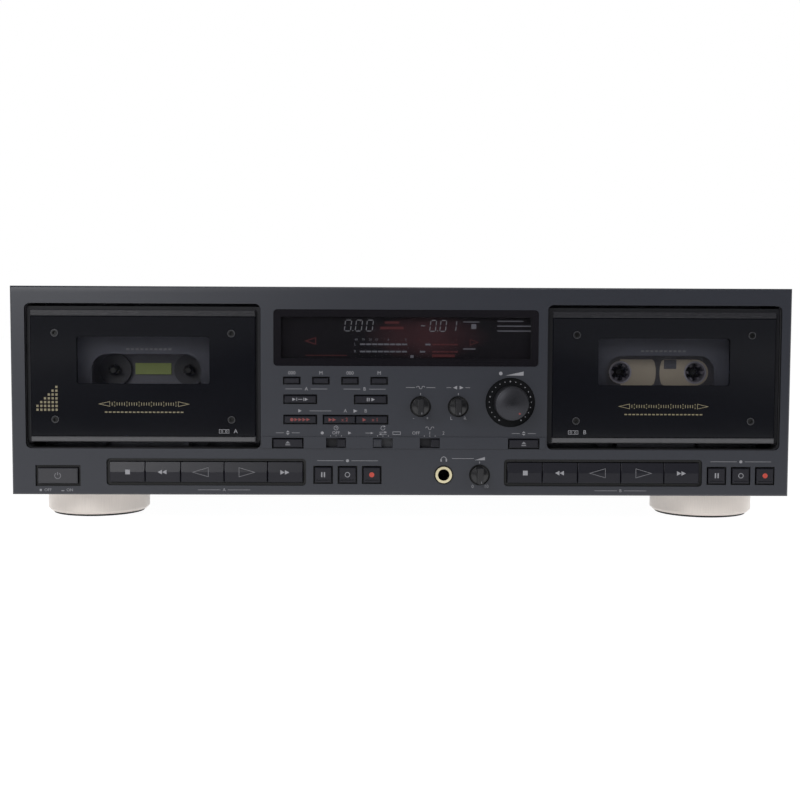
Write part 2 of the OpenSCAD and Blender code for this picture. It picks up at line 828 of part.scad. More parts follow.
module tape_mechanism(u) {
    mech_h = mech_v[1] - mech_v[0];
    mid_v = (mech_v[0] + mech_v[1]) / 2;
    back_y = mech_y + mech_t + back_gap;
    color(steel)
    difference() {
        union() {
            on_panel([u, mid_v], mech_y) block(mech_w, mech_t, mech_h);
            mechanism_legs(u);
        }
        for (s = [-1, 1]) {
            on_panel([u + s * hub_pitch / 2, hub_v], mech_y - 1) rod(spindle_shaft_r + run, mech_t + 2);
            on_panel([u + s * flywheel_u, flywheel_v], mech_y - 1) rod(capstan_r + run, mech_t + 2);
        }
    }
    color(steel) {
        for (s = [-1, 1]) {
            on_panel([u + s * flywheel_u, flywheel_v], mech_y - capstan_reach)
                rod(capstan_r, capstan_len);
            on_panel([u + s * flywheel_u, flywheel_v], mech_y + mech_t + flywheel_gap)
                rod(flywheel_r, flywheel_t);
            for (v = post_v)
                on_panel([u + s * (flywheel_u + post_out), v], mech_y + mech_t) rod(post_r, back_gap);
        }
        on_panel([u, (post_v[0] + post_v[1]) / 2], back_y)
            block(2 * (flywheel_u + back_plate_over), mech_t, back_plate_h);
        on_panel([u, motor_v], mech_y + mech_t) rod(motor_r, motor_len);
        on_panel([u, head_bar_v], mech_y - head_bar[1]) block(head_bar[0], head_bar[1], head_bar[2]);
        on_panel([u, head_v], mech_y - head_reach) block(head_size[0], head_size[1], head_size[2]);
    }
    color(dark) {
        belt_loop(u);
        for (s = [-1, 1]) pinch_roller(u + s * (flywheel_u + roller_out));
    }
    color([0.4, 0.42, 0.2])
        on_panel([u, hub_v + 0.5], mech_y - 1.2) block(reflector[0], 1.2, reflector[1]);
}

// The plate's four legs: they stand on the back of the front panel, above and below the bay
module mechanism_legs(u) {
    top_v = bay_v + bay_h / 2 + bay_wall + slip;
    low_v = bay_v - bay_h / 2 - bay_wall - slip;
    leg_len = mech_y - panel_t + leg_root;
    for (s = [-1, 1]) {
        on_panel([u + s * leg_u, (top_v + mech_v[1]) / 2], panel_t)
            block(leg_w, leg_len, mech_v[1] - top_v);
        on_panel([u + s * leg_u, (low_v + mech_v[0]) / 2], panel_t)
            block(leg_w, leg_len, low_v - mech_v[0]);
    }
}

// The flat belt that runs round both flywheels
module belt_loop(u) {
    belt_y = mech_y + mech_t + flywheel_gap + (flywheel_t - belt_h) / 2;
    on_panel([u, flywheel_v], belt_y)
        difference() {
            slab(belt_h) polygon(stadium(2 * flywheel_u, flywheel_r + seat + belt_t));
            translate([0, -1, 0]) slab(belt_h + 2) polygon(stadium(2 * flywheel_u, flywheel_r + seat));
        }
}

function stadium(len, r, steps = 24) = concat(
    [for (i = [0:steps]) [len / 2 + r * cos(180 * i / steps - 90), r * sin(180 * i / steps - 90)]],
    [for (i = [0:steps]) [-len / 2 + r * cos(180 * i / steps + 90), r * sin(180 * i / steps + 90)]]
);

module pinch_roller(u) {
    on_panel([u, roller_v], mech_y - roller_t - 2) rod(roller_axle_r, roller_t + 2);
    difference() {
        on_panel([u, roller_v], mech_y - roller_t - 1) rod(roller_r, roller_t);
        on_panel([u, roller_v], mech_y - roller_t - 2) rod(roller_axle_r + run, roller_t + 3);
    }
}

// A reel spindle: it turns in the mechanism's plate and reaches into a cassette's hub
module reel(deck, side) {
    flange_r = 9;
    cone_len = 3;
    color(key_colour)
    on_panel([deck_u[deck] + side * hub_pitch / 2, hub_v], 0) {
        translate([0, spindle_tip_y, 0]) cone(spindle_r / 2, spindle_r, cone_len);
        translate([0, spindle_tip_y + cone_len, 0])
            rod(spindle_r, mech_y - 2.7 - spindle_tip_y - cone_len);
        for (a = [0, 120, 240])
            rotate([0, a, 0]) translate([-0.5, spindle_tip_y + 1.6, 0]) cube([1, 6, fin_r]);
        translate([0, mech_y - 3, 0]) rod(flange_r, 2.6);
        translate([0, mech_y - 1, 0]) rod(spindle_shaft_r, mech_t + 3);
        translate([0, mech_y + mech_t + 0.4, 0]) rod(2 * spindle_shaft_r, 1.6);
    }
}

// A door's moulded carrier with the cassette holder behind it
module door(deck) {
    color(dark)
    difference() {
        union() {
            on_panel([deck_u[deck], 0], carrier_y) slab(carrier_t) polygon(carrier());
            door_hinges(deck_u[deck]);
            stabiliser(deck_u[deck]);
            for (s = [-1, 1]) holder_side(deck_u[deck], s);
        }
        on_panel([deck_u[deck], window_v], carrier_y - 1)
            block(window_w + 2 * window_frame, carrier_t + 2, window_h + 2 * window_frame);
        for (s = [-1, 1], v = lens_screw_v)
            on_panel([deck_u[deck] + s * lens_screw_u, v], carrier_y - 1)
                rod(screw_r + seat, carrier_t + 2);
    }
}

// The carrier's outline: its lower corners are cut so that they clear the opening's round ones
function carrier() = [
    [carrier_corner - carrier_w / 2, carrier_v0], [carrier_w / 2 - carrier_corner, carrier_v0],
    [carrier_w / 2, carrier_v0 + carrier_corner], [carrier_w / 2, carrier_v1],
    [-carrier_w / 2, carrier_v1], [-carrier_w / 2, carrier_v0 + carrier_corner]
];

module door_hinges(u) {
    for (s = [-1, 1]) {
        on_panel([u + s * (carrier_w - ear_w) / 2, hinge_v], carrier_y + ear_front)
            block(ear_w, hinge_y + ear_back - carrier_y - ear_front, ear_h);
        on_panel([u + s * (carrier_w / 2 + bay_wall / 2 - 0.5), hinge_v], hinge_y)
            rotate([0, 90, 0]) cylinder(r = hinge_r, h = bay_wall + 1, center = true);
    }
}

// The plate seen through the window, with its arched cut-out round the hubs
module stabiliser(u) {
    plate_w = window_w + 2 * stabiliser_edge[0];
    plate_h = window_h + 2 * stabiliser_edge[1];
    low = window_v - plate_h / 2;
    difference() {
        on_panel([u, window_v], stabiliser_y) block(plate_w, stabiliser_t, plate_h);
        on_panel([u, 0], stabiliser_y - 1) slab(stabiliser_t + 2) polygon(arch(low - 1));
    }
    for (s = [-1, 1]) {
        on_panel([u + s * (plate_w / 2 - 1), window_v], carrier_back - 0.5)
            block(2, stabiliser_y - carrier_back + 1, plate_h);
        on_panel([u + s * (plate_w / 2 - 1), window_v], stabiliser_y)
            block(2, cassette_y - slip - stabiliser_y, plate_h);
    }
}

function arch(low) = concat(
    [[-arch_w / 2, low], [arch_w / 2, low]],
    [for (i = [0:8]) [arch_w / 2 - arch_r + arch_r * cos(i * 90 / 8),
                      arch_top - arch_r + arch_r * sin(i * 90 / 8)]],
    [for (i = [0:8]) [-arch_w / 2 + arch_r - arch_r * sin(i * 90 / 8),
                      arch_top - arch_r + arch_r * cos(i * 90 / 8)]]
);

module holder_side(u, s) {
    inner = cassette_w / 2 + holder_gap;
    back = cassette_y + cassette_t + holder_gap - 0.1;
    low = cassette_v - 1;
    mid = (low + holder_v1) / 2;
    on_panel([u + s * (inner + holder_wall / 2), mid], carrier_back - 0.5)
        block(holder_wall, back + holder_wall - carrier_back + 0.5, holder_v1 - low);
    on_panel([u + s * (inner + holder_wall - holder_lip / 2 - 0.5), mid], back)
        block(holder_lip + 1, holder_wall, holder_v1 - low);
    on_panel([u + s * (inner + holder_wall - pad_w / 2), low + 0.4], cassette_y - 1)
        block(pad_w, back + holder_wall - cassette_y + 1, 0.8);
}

module door_lens(deck) {
    v0 = lens_v0 + strip_low_h + 0.1;
    v1 = lens_v1 - strip_top_h - 0.1;
    color(smoke)
    difference() {
        on_panel([deck_u[deck], (v0 + v1) / 2], lens_y) bevelled(lens_w, v1 - v0, lens_t, 0.4);
        for (s = [-1, 1], v = lens_screw_v)
            on_panel([deck_u[deck] + s * lens_screw_u, v], lens_y - 1)
                rod(lens_screw_dia / 2 + run, lens_t + 2);
    }
}

// The two metal strips and the four socket screws that hold the lens
module door_trim(deck) {
    strip_t = lens_t + strip_proud;
    strip_y = lens_y - strip_proud;
    color(steel) {
        on_panel([deck_u[deck], lens_v1 - strip_top_h / 2], strip_y)
            bevelled(lens_w, strip_top_h, strip_t, 0.4);
        on_panel([deck_u[deck], lens_v0 + strip_low_h / 2], strip_y)
            bevelled(lens_w, strip_low_h, strip_t, 0.4);
        for (s = [-1, 1], v = lens_screw_v)
            on_panel([deck_u[deck] + s * lens_screw_u, v], strip_y) difference() {
                union() {
                    rod(lens_screw_dia / 2, strip_t);
                    rod(screw_r, strip_t + carrier_t);
                }
                translate([0, -1, 0]) rotate([-90, 0, 0]) cylinder(d = hex_dia, h = 2.4, $fn = 6);
            }
    }
}

module loaded_cassette() {
    u = deck_u[1];
    mid_v = cassette_v + cassette_h / 2;
    bulge = (cassette_thick - cassette_t) / 2;
    color([0.5, 0.5, 0.48])
    difference() {
        union() {
            on_panel([u, mid_v], cassette_y) rounded_slab(cassette_w, cassette_h, 1.5, cassette_t);
            on_panel([u, cassette_v], cassette_y - bulge) slab(cassette_thick) polygon([
                [-nose_w[0] / 2, 0], [nose_w[0] / 2, 0],
                [nose_w[1] / 2, nose_h], [-nose_w[1] / 2, nose_h]
            ]);
        }
        for (s = [-1, 1])
            on_panel([u + s * hub_pitch / 2, hub_v], 0) {
                translate([0, cassette_y - 1, 0]) rod(hub_hole_r, cassette_t + 2);
                translate([0, cassette_y + hub_inset, 0]) rod(hub_r + slip, cassette_t - 2 * hub_inset);
            }
        on_panel([u, hub_v], cassette_y - 1)
            rounded_slab(hub_pitch + 2 * view_r, 2 * view_r, view_r - 0.05, view_sunk + 1);
    }
    color([0.85, 0.84, 0.8])
    for (s = [-1, 1])
        on_panel([u + s * hub_pitch / 2, hub_v], cassette_y + hub_inset + slip) cassette_hub();
}

module cassette_hub() {
    slab(cassette_t - 2 * hub_inset - 2 * slip)
        difference() {
            circle(r = hub_r);
            polygon(hub_bore());
        }
}

// The hub's bore with its six drive teeth
function hub_bore() = [for (i = [0:5]) each concat(
    [for (s = [-1, 1]) polar(hub_tooth_r, i * 60 + s * asin(hub_tooth_w / 2 / hub_tooth_r))],
    [for (j = [0:5]) polar(hub_bore_r, i * 60 + 10 + j * 8)]
)];

function polar(r, a) = [r * cos(a), r * sin(a)];

// A key: bevelled cap, a lip behind the panel that keeps it in, and a stem to its switch
module front_key(k) {
    w = k[2][0];
    h = k[2][1];
    cap_len = key_proud + panel_t + flange_gap + 0.4;
    flange_y = panel_t + flange_gap;
    color(key_colour)
    on_panel(k[1], 0) {
        translate([0, -key_proud, 0]) difference() {
            bevelled(w, h, cap_len, key_chamfer);
            if (h == transport_key_h) key_top_cut(w, h);
            if (w == square_key)
                translate([0, -1, -key_groove_drop * h])
                    block(key_groove_share * w, 1 + key_groove_d, key_groove_h);
        }
        translate([0, flange_y, 0]) block(w + 2 * k[3], flange_t, h + 2 * flange_lip);
        translate([0, flange_y + flange_t - 0.2, 0])
            block(stem, stem_end - flange_y - flange_t + 0.2, stem);
    }
}

// What is cut from a key so that its upper half leans back
module key_top_cut(w, h) {
    over = h / 2 + 1;
    translate([-w / 2 - 1, 0, 0]) rotate([90, 0, 90]) linear_extrude(w + 2)
        polygon([[-1, 0], [0, 0], [key_lean * over / (h / 2), over], [-1, over]]);
}

// A slide switch's knob with the plate that closes its slot from behind
module slider(s) {
    u = s[1] + s[2] * slider_travel / 2;
    plate_w = slider_slot[0] + slider_travel + 0.6;
    plate_t = 1;
    color(key_colour)
    on_panel([u, slider_v], 0) {
        translate([0, -1.2, 0])
            bevelled(slider_knob[0], slider_knob[1], panel_t + 1.2 + flange_gap + 0.4, 0.5);
        translate([0, panel_t + flange_gap, 0]) block(plate_w, plate_t, slider_slot[1] + 1.6);
        translate([0, panel_t + flange_gap + plate_t - 0.2, 0]) block(2, 4, 2);
    }
}

// A small knob: round skirt, a cone, an upright grip bar and its shaft
module small_knob(pos) {
    r = small_knob_dia / 2;
    ledge = 0.3;
    color(key_colour)
    on_panel(pos, 0) {
        translate([0, -knob_cone_proud, 0])
            cone(knob_cone_r, r - ledge, knob_cone_proud - knob_skirt);
        translate([0, -knob_skirt, 0]) rod(r, knob_skirt + 0.6);
        intersection() {
            translate([0, -small_knob_proud, 0]) rod(r - 0.4, small_knob_proud);
            translate([0, -small_knob_proud, 0]) bevelled(knob_bar_w, 2 * r, small_knob_proud, 0.4);
        }
        rod(knob_shaft_r, board_y - 1.5);
    }
}

module level_knob() {
    r = level_knob_dia / 2;
    lip = 1.4;
    color(key_colour)
    on_panel(level_knob_pos, 0) {
        translate([0, -level_knob_len, 0]) rotate([-90, 0, 0]) rotate_extrude()
            polygon(concat(
                [for (i = [0:5]) [(r - lip) * i / 6, knob_dome * i * i / 36]],
                [for (i = [0:6]) [r - lip + lip * sin(i * 15), knob_dome + lip - lip * cos(i * 15)]],
                [[r, level_knob_len - 0.4], [0, level_knob_len - 0.4]]
            ));
        translate([0, -1, 0]) rod(knob_shaft_r, board_y - 0.5);
    }
}

front_panel();
chassis();
top_cover();
rear_panel();
display_window();
display_module();
feet();
foot_pads();
case_screws();
rear_sockets();
headphone_socket();
circuit_boards();
power_transformer();
tape_mechanisms();
door(0);  // door_a
door(1);  // door_b
door_lens(0);  // door_lens_a
door_lens(1);  // door_lens_b
door_trim(0);  // door_trim_a
door_trim(1);  // door_trim_b
loaded_cassette();
level_knob();
for (k = KEYS) front_key(k);
for (s = SLIDERS) slider(s);
for (i = [0:2]) small_knob(small_knob_pos[i]);
for (r = REELS) reel(r[1], r[2]);
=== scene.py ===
import json
import math

import bmesh
import bpy
from bpy.props import FloatProperty, FloatVectorProperty, IntProperty, PointerProperty
from bpy.types import Operator, Panel, PropertyGroup
from mathutils import Color, Matrix, Vector


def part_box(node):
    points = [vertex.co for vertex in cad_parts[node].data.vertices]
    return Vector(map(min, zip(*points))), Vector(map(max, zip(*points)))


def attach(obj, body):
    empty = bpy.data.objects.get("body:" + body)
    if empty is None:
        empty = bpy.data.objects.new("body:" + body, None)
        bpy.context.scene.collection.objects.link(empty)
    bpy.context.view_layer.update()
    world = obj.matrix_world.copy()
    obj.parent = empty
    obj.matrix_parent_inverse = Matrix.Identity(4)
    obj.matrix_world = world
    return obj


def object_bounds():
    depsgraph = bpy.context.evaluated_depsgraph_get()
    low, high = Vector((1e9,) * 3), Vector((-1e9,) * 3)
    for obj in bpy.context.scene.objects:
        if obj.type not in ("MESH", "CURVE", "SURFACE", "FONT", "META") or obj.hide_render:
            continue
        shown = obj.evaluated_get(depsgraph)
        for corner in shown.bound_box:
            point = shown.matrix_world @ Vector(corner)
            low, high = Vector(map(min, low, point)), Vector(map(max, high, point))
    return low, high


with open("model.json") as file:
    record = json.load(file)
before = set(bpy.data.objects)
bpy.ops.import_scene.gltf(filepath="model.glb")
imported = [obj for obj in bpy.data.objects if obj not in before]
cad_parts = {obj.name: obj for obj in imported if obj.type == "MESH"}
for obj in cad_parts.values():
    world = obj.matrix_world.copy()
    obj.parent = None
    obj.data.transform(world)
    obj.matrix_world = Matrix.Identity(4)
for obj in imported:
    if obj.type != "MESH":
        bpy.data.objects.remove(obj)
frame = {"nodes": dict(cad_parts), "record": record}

CAD_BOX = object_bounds()

bl_info = {
    "name": "Double cassette deck",
    "version": (1, 0, 0),
    "blender": (4, 5, 0),
    "location": "View3D > Sidebar > Deck",
    "description": "Dresses a double cassette deck's solids with finishes, prints and small pieces",
    "category": "Object",
}

# Lengths are in millimetres where no comment names another unit
MM = 0.001
NODES = frame["nodes"]
WINDOW_SUNK = 0.2
FACE_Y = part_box("display_window")[0].y - WINDOW_SUNK * MM
PANEL_LOW, PANEL_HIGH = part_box("front_panel")
PANEL_Z = PANEL_LOW.z
REAR_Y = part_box("rear_panel")[1].y
DECKS = ("a", "b")
SIDES = ("left", "right")
TRANSPORT = ("stop", "rewind", "reverse", "play", "forward")
SQUARES = ("pause", "mute", "record")
KEYS = (
    ["power_button", "blank_skip_key", "auto_pause_key"]
    + ["start_key", "dub_fast_key", "dub_normal_key"]
    + [f"deck_{d}_{k}_key" for d in DECKS for k in TRANSPORT + SQUARES]
    + [f"counter_key_{i}" for i in range(1, 5)]
    + [f"door_key_{d}" for d in DECKS]
)
SLIDERS = ("timer_switch", "direction_switch", "noise_switch")
SMALL_KNOBS = ("bias_knob", "balance_knob", "phones_level_knob")
REELS = [f"reel_{d}_{s}" for d in DECKS for s in SIDES]
PRINT_T = 0.04
CAPITAL = 0.7
WELD_MM = 0.002
JOIN_MM = 0.0005
ROUND_STEPS = 2
FLAT_ANGLE = math.radians(0.5)
EDGE_ANGLE = math.radians(50)
SMOOTH_ANGLE = math.radians(35)
ACRYLIC_IOR = 1.49


def mm(*lengths):
    """Millimetres as the scene's metres."""
    return tuple(length * MM for length in lengths)


def at(u, v, depth=0.0):
    """A point of the front, in millimetres from the panel's middle, lower edge and face."""
    return Vector((u * MM, FACE_Y + depth * MM, PANEL_Z + v * MM))


def middle(node):
    """The middle u, v of a node and the depth of its front, in millimetres."""
    low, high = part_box(node)
    return (
        (low.x + high.x) / 2 / MM,
        ((low.z + high.z) / 2 - PANEL_Z) / MM,
        (low.y - FACE_Y) / MM,
    )


def linear(colour, level=1.0):
    """A colour as it is seen, as the linear RGBA that a shader takes."""
    made = Color(colour[:3]).from_srgb_to_scene_linear()
    return (made.r * level, made.g * level, made.b * level, 1.0)


class Value:
    """A socket of a node tree. Arithmetic on it adds Math nodes to that tree."""

    def __init__(self, tree, socket):
        self.tree = tree
        self.socket = socket

    def maths(self, operation, other=None, swap=False):
        terms = [self] if other is None else [other, self] if swap else [self, other]
        return self.tree.node("ShaderNodeMath", {"operation": operation}, dict(enumerate(terms)))

    def __add__(self, other):
        return self.maths("ADD", other)

    def __radd__(self, other):
        return self.maths("ADD", other, True)

    def __sub__(self, other):
        return self.maths("SUBTRACT", other)

    def __rsub__(self, other):
        return self.maths("SUBTRACT", other, True)

    def __mul__(self, other):
        return self.maths("MULTIPLY", other)

    def __truediv__(self, other):
        return self.maths("DIVIDE", other)

    def __gt__(self, other):
        return self.maths("GREATER_THAN", other)

    def __lt__(self, other):
        return self.maths("LESS_THAN", other)

    def __abs__(self):
        return self.maths("ABSOLUTE")

    def __pow__(self, other):
        return self.maths("POWER", other)

    def ramp(self, low, high):
        """0 below low, 1 above high and even between them."""
        return self.tree.node(
            "ShaderNodeMapRange", {"clamp": True},
            {"Value": self, "From Min": low, "From Max": high},
        )


class Tree:
    """Adds nodes to a node tree, each with its settings and the values or links of its sockets."""

    def __init__(self, node_tree):
        self.nodes = node_tree.nodes
        self.links = node_tree.links

    def node(self, kind, settings=None, inputs=None, output=0):
        made = self.nodes.new(kind)
        for key, value in (settings or {}).items():
            setattr(made, key, value)
        self.feed(made, inputs or {})
        return Value(self, made.outputs[output])

    def feed(self, made, inputs):
        for key, value in inputs.items():
            if isinstance(value, Value):
                self.links.new(value.socket, made.inputs[key])
            else:
                made.inputs[key].default_value = value

    def mix(self, factor, first, second):
        return self.node(
            "ShaderNodeMix", {"data_type": "RGBA"}, {0: factor, 6: first, 7: second}, 2
        )


class Finish(Tree):
    """A material on Object coordinates, which are the deck's own metres."""

    def __init__(self, name):
        self.material = bpy.data.materials.new(name)
        self.material.use_nodes = True
        super().__init__(self.material.node_tree)
        self.shader = self.nodes["Principled BSDF"]
        self.place = self.node("ShaderNodeTexCoord", output="Object")
        self.x, self.y, self.z = (
            self.node("ShaderNodeSeparateXYZ", None, {0: self.place}, i) for i in range(3)
        )

    def noise(self, size_mm, detail=2.0, stretch=(1.0, 1.0, 1.0)):
        """Noise whose grains are about size_mm across, drawn out along an axis by stretch."""
        scale = [1 / s for s in stretch]
        drawn = self.node("ShaderNodeMapping", None, {"Vector": self.place, "Scale": scale})
        return self.node(
            "ShaderNodeTexNoise", None,
            {"Vector": drawn, "Scale": 1 / (size_mm * MM), "Detail": detail},
        )

    def bump(self, height, strength, distance_mm):
        return self.node(
            "ShaderNodeBump", None,
            {"Height": height, "Strength": strength, "Distance": distance_mm * MM},
        )

    def inside(self, low, high, edge_mm=0.0):
        """1 in the box between two points of the front and 0 outside it."""
        edge = edge_mm * MM
        mask = None
        for axis, first, last in zip((self.x, self.y, self.z), low, high):
            part = (axis > first + edge) * (axis < last - edge)
            mask = part if mask is None else mask * part
        return mask

    def inside_front(self, low, high, edge_mm):
        """1 further in than edge_mm from a box's outline on the front, at any depth."""
        deep = Vector((0.0, 1.0, 0.0))
        return self.inside(low - deep, high + deep, edge_mm)

    def surface(self, **sockets):
        """Sets the shader's sockets: base_color sets Base Color, and so on."""
        names = {"ior": "IOR", "specular": "Specular IOR Level"}
        self.feed(
            self.shader, {names.get(k, k.replace("_", " ").title()): v for k, v in sockets.items()}
        )
        return self.material


def distance(off_x, off_z):
    """How far a place is from a middle, from how far it is across and up."""
    return (off_x * off_x + off_z * off_z).maths("SQRT")


def rounded_distance(finish, centre, size, corner):
    """Millimetres from a rounded rectangle of the front, and 0 or less inside it."""
    reach = []
    for axis, place, length in ((finish.x, centre.x, size[0]), (finish.z, centre.z, size[1])):
        over = abs(axis - place) / MM - (length / 2 - corner)
        reach.append(over.maths("MAXIMUM", 0.0))
    return distance(*reach) - corner


def mottled(finish, colour, grain, share=0.12):
    """A colour that varies a little with a grain, darker and lighter than its mean."""
    return finish.mix(grain, linear(colour, 1 - share), linear(colour, 1 + share))


def moulded(name, colour, roughness=0.45, grain_mm=0.5, bump=0.12, **more):
    """Satin moulded plastic with the fine texture of its mould."""
    finish = Finish(name)
    grain = finish.noise(grain_mm)
    cloud = finish.noise(30)
    return finish.surface(
        base_color=mottled(finish, colour, cloud),
        roughness=roughness - 0.06 + grain * 0.08 + cloud * 0.04,
        normal=finish.bump(grain, bump, 0.03),
        **more,
    )


def metal(name, colour, roughness=0.3, stretch=(1.0, 1.0, 1.0), metallic=1.0, grain_mm=0.25):
    """Satin metal, brushed along the axis that stretch draws out."""
    finish = Finish(name)
    brush = finish.noise(grain_mm, 3.0, stretch)
    cloud = finish.noise(25)
    return finish.surface(
        base_color=mottled(finish, colour, brush, 0.1),
        metallic=metallic,
        roughness=roughness - 0.08 + brush * 0.12 + cloud * 0.06,
        normal=finish.bump(brush, 0.08, 0.02),
    )


def ink(name, colour, roughness=0.5, glow=0.0, specular=0.5):
    """Screen print: an even film with the slight mottle of its mesh."""
    finish = Finish(name)
    film = finish.noise(0.35, 1.0)
    shade = mottled(finish, colour, film, 0.08)
    sockets = {"base_color": shade, "roughness": roughness + film * 0.1, "specular": specular}
    if glow:
        sockets.update(emission_color=shade, emission_strength=glow)
    return finish.surface(**sockets)


def settings():
    """The deck's own settings in the scene."""
    return bpy.context.scene.deck


INKS = {}


def inks(name):
    """A print colour, made the first time that a piece asks for it."""
    if name not in INKS:
        look = settings()
        colours = {
            "pale": (look.ink_pale, 0.5, 0.0),
            "soft": (look.ink_soft, 0.5, 0.0),
            "gold": (look.ink_gold, 0.4, 0.0),
            "red": (look.ink_red, 0.5, 0.0),
            "record": (look.ink_record, 0.5, 0.0),
            "grey": (look.ink_grey, 0.5, 0.0),
            "dark": (look.recess, 0.5, 0.0),
            "matt": (look.ring, 0.75, 0.0),
            "slate": (look.carrier, 0.5, 0.0),
            "lit": (look.display_lit, 0.5, look.display_glow),
            "dim": (look.display_dim, 0.5, look.display_glow * 0.5),
            "ember": (look.display_red, 0.5, look.display_glow * 0.4),
            "cinder": (look.display_red, 0.5, 0.0),
        }
        colour, roughness, glow = colours[name]
        INKS[name] = ink(f"print_{name}", colour, roughness, glow, 0.15 if name == "matt" else 0.5)
    return INKS[name]


def dress(names, material):
    """Gives CAD nodes a finish."""
    for name in names:
        for holder in NODES[name].material_slots:
            holder.material = material


def soften(names, width_mm):
    """Rounds the sharp edges of CAD nodes without touching their meshes."""
    for name in names:
        weld = NODES[name].modifiers.new("weld", "WELD")
        weld.merge_threshold = WELD_MM * MM
        flat = NODES[name].modifiers.new("flat", "DECIMATE")
        flat.decimate_type = "DISSOLVE"
        flat.angle_limit = FLAT_ANGLE
        bevel = NODES[name].modifiers.new("round", "BEVEL")
        bevel.width = width_mm * MM
        bevel.segments = ROUND_STEPS
        bevel.limit_method = "ANGLE"
        bevel.angle_limit = EDGE_ANGLE
        bevel.use_clamp_overlap = True


def new_object(name, data):
    """An object in the scene that holds a mesh, letters, a light or a camera."""
    made = bpy.data.objects.new(name, data)
    bpy.context.scene.collection.objects.link(made)
    return made


def settle(piece, body):
    """Puts a finished piece on its body."""
    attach(piece, body)
    return piece


class Print:
    """Gathers the thin printed shapes of one body, in millimetres, and makes them one piece.

    On the rear, u counts from the left as the rear is seen.
    """

    def __init__(self, depth, thickness=PRINT_T, rear=False):
        self.shape = bmesh.new()
        self.depth = depth
        self.thickness = thickness
        self.rear = rear
        self.used = []

    def spot(self, u, v, lift):
        """A point of the print, lifted from what it is printed on."""
        if self.rear:
            return Vector((-u * MM, REAR_Y + (lift - self.depth) * MM, PANEL_Z + v * MM))
        return at(u, v, self.depth - lift)

    def index(self, colour):
        if colour not in self.used:
            self.used.append(colour)
        return self.used.index(colour)

    def corners(self, points):
        front = [self.shape.verts.new(self.spot(u, v, self.thickness)) for u, v in points]
        back = [self.shape.verts.new(self.spot(u, v, 0.0)) for u, v in points]
        return front, back

    def face(self, corners, colour):
        self.shape.faces.new(corners).material_index = self.index(colour)

    def wall(self, front, back, colour):
        for i in range(len(front)):
            j = (i + 1) % len(front)
            self.face((front[i], back[i], back[j], front[j]), colour)

    def poly(self, points, colour):
        """A flat shape with the given outline, anticlockwise as it is seen."""
        front, back = self.corners(points)
        self.face(front, colour)
        self.face(back[::-1], colour)
        self.wall(front, back, colour)

    def band(self, outer, inner, colour):
        """The strip between two outlines of as many points."""
        outer_front, outer_back = self.corners(outer)
        inner_front, inner_back = self.corners(inner)
        for i in range(len(outer)):
            j = (i + 1) % len(outer)
            self.face((outer_front[i], outer_front[j], inner_front[j], inner_front[i]), colour)
            self.face((inner_back[i], inner_back[j], outer_back[j], outer_back[i]), colour)
        self.wall(outer_front, outer_back, colour)
        self.wall(inner_front[::-1], inner_back[::-1], colour)

    def box(self, u, v, w, h, colour):
        self.poly(rectangle(u, v, w, h), colour)

    def disc(self, u, v, r, colour, points=24):
        self.poly(circle(u, v, r, points), colour)

    def ring(self, u, v, r, width, colour, points=32):
        self.band(circle(u, v, r, points), circle(u, v, r - width, points), colour)

    def frame(self, u, v, w, h, width, colour):
        self.band(rectangle(u, v, w, h), rectangle(u, v, w - 2 * width, h - 2 * width), colour)

    def arc(self, u, v, r, width, first, last, colour, steps=16):
        turns = [math.radians(first + (last - first) * i / steps) for i in range(steps + 1)]
        outer = [(u + r * math.cos(a), v + r * math.sin(a)) for a in turns]
        inner = [(u + (r - width) * math.cos(a), v + (r - width) * math.sin(a)) for a in turns]
        self.poly(outer + inner[::-1], colour)

    def point(self, u, v, w, h, colour):
        """A filled arrow head: w is negative for one that points left."""
        self.poly(head(u, v, w, h), colour)

    def open_point(self, u, v, w, h, width, colour):
        """The outline of an arrow head, with an even line width."""
        length = abs(w)
        slope = math.hypot(length, h / 2)
        tip = width * slope / (h / 2)
        inner_h = h * (length - width - tip) / length
        shift = (width - tip) / 2 * (1 if w > 0 else -1)
        inner_w = math.copysign(length - width - tip, w)
        self.band(head(u, v, w, h), head(u + shift, v, inner_w, inner_h), colour)

    def words(self, text, u, v, height, colour):
        """Plain figures and letters whose capitals are height tall."""
        curve = bpy.data.curves.new("letters", "FONT")
        curve.body = text
        curve.align_x = "CENTER"
        curve.align_y = "CENTER"
        curve.size = height * MM / CAPITAL
        curve.extrude = self.thickness * MM / 2
        curve.resolution_u = 3
        holder = new_object("letters", curve)
        graph = bpy.context.evaluated_depsgraph_get()
        mesh = bpy.data.meshes.new_from_object(holder.evaluated_get(graph))
        stand = Matrix.Rotation(math.pi / 2, 4, "X")
        if self.rear:
            stand = Matrix.Rotation(math.pi, 4, "Z") @ stand
        stand.translation = self.spot(u, v, self.thickness / 2)
        mesh.transform(stand)
        known = set(self.shape.faces)
        self.shape.from_mesh(mesh)
        number = self.index(colour)
        for face in self.shape.faces:
            if face not in known:
                face.material_index = number
        bpy.data.objects.remove(holder)
        bpy.data.curves.remove(curve)
        bpy.data.meshes.remove(mesh)

    def make(self, name, body):
        bmesh.ops.remove_doubles(self.shape, verts=self.shape.verts, dist=JOIN_MM * MM)
        bmesh.ops.recalc_face_normals(self.shape, faces=self.shape.faces)
        mesh = bpy.data.meshes.new(name)
        self.shape.to_mesh(mesh)
        self.shape.free()
        for colour in self.used:
            mesh.materials.append(inks(colour))
        return settle(new_object(name, mesh), body)


def rectangle(u, v, w, h):
    return [
        (u - w / 2, v - h / 2), (u + w / 2, v - h / 2),
        (u + w / 2, v + h / 2), (u - w / 2, v + h / 2),
    ]


def circle(u, v, r, points=24):
    turn = 2 * math.pi / points
    return [(u + r * math.cos(i * turn), v + r * math.sin(i * turn)) for i in range(points)]


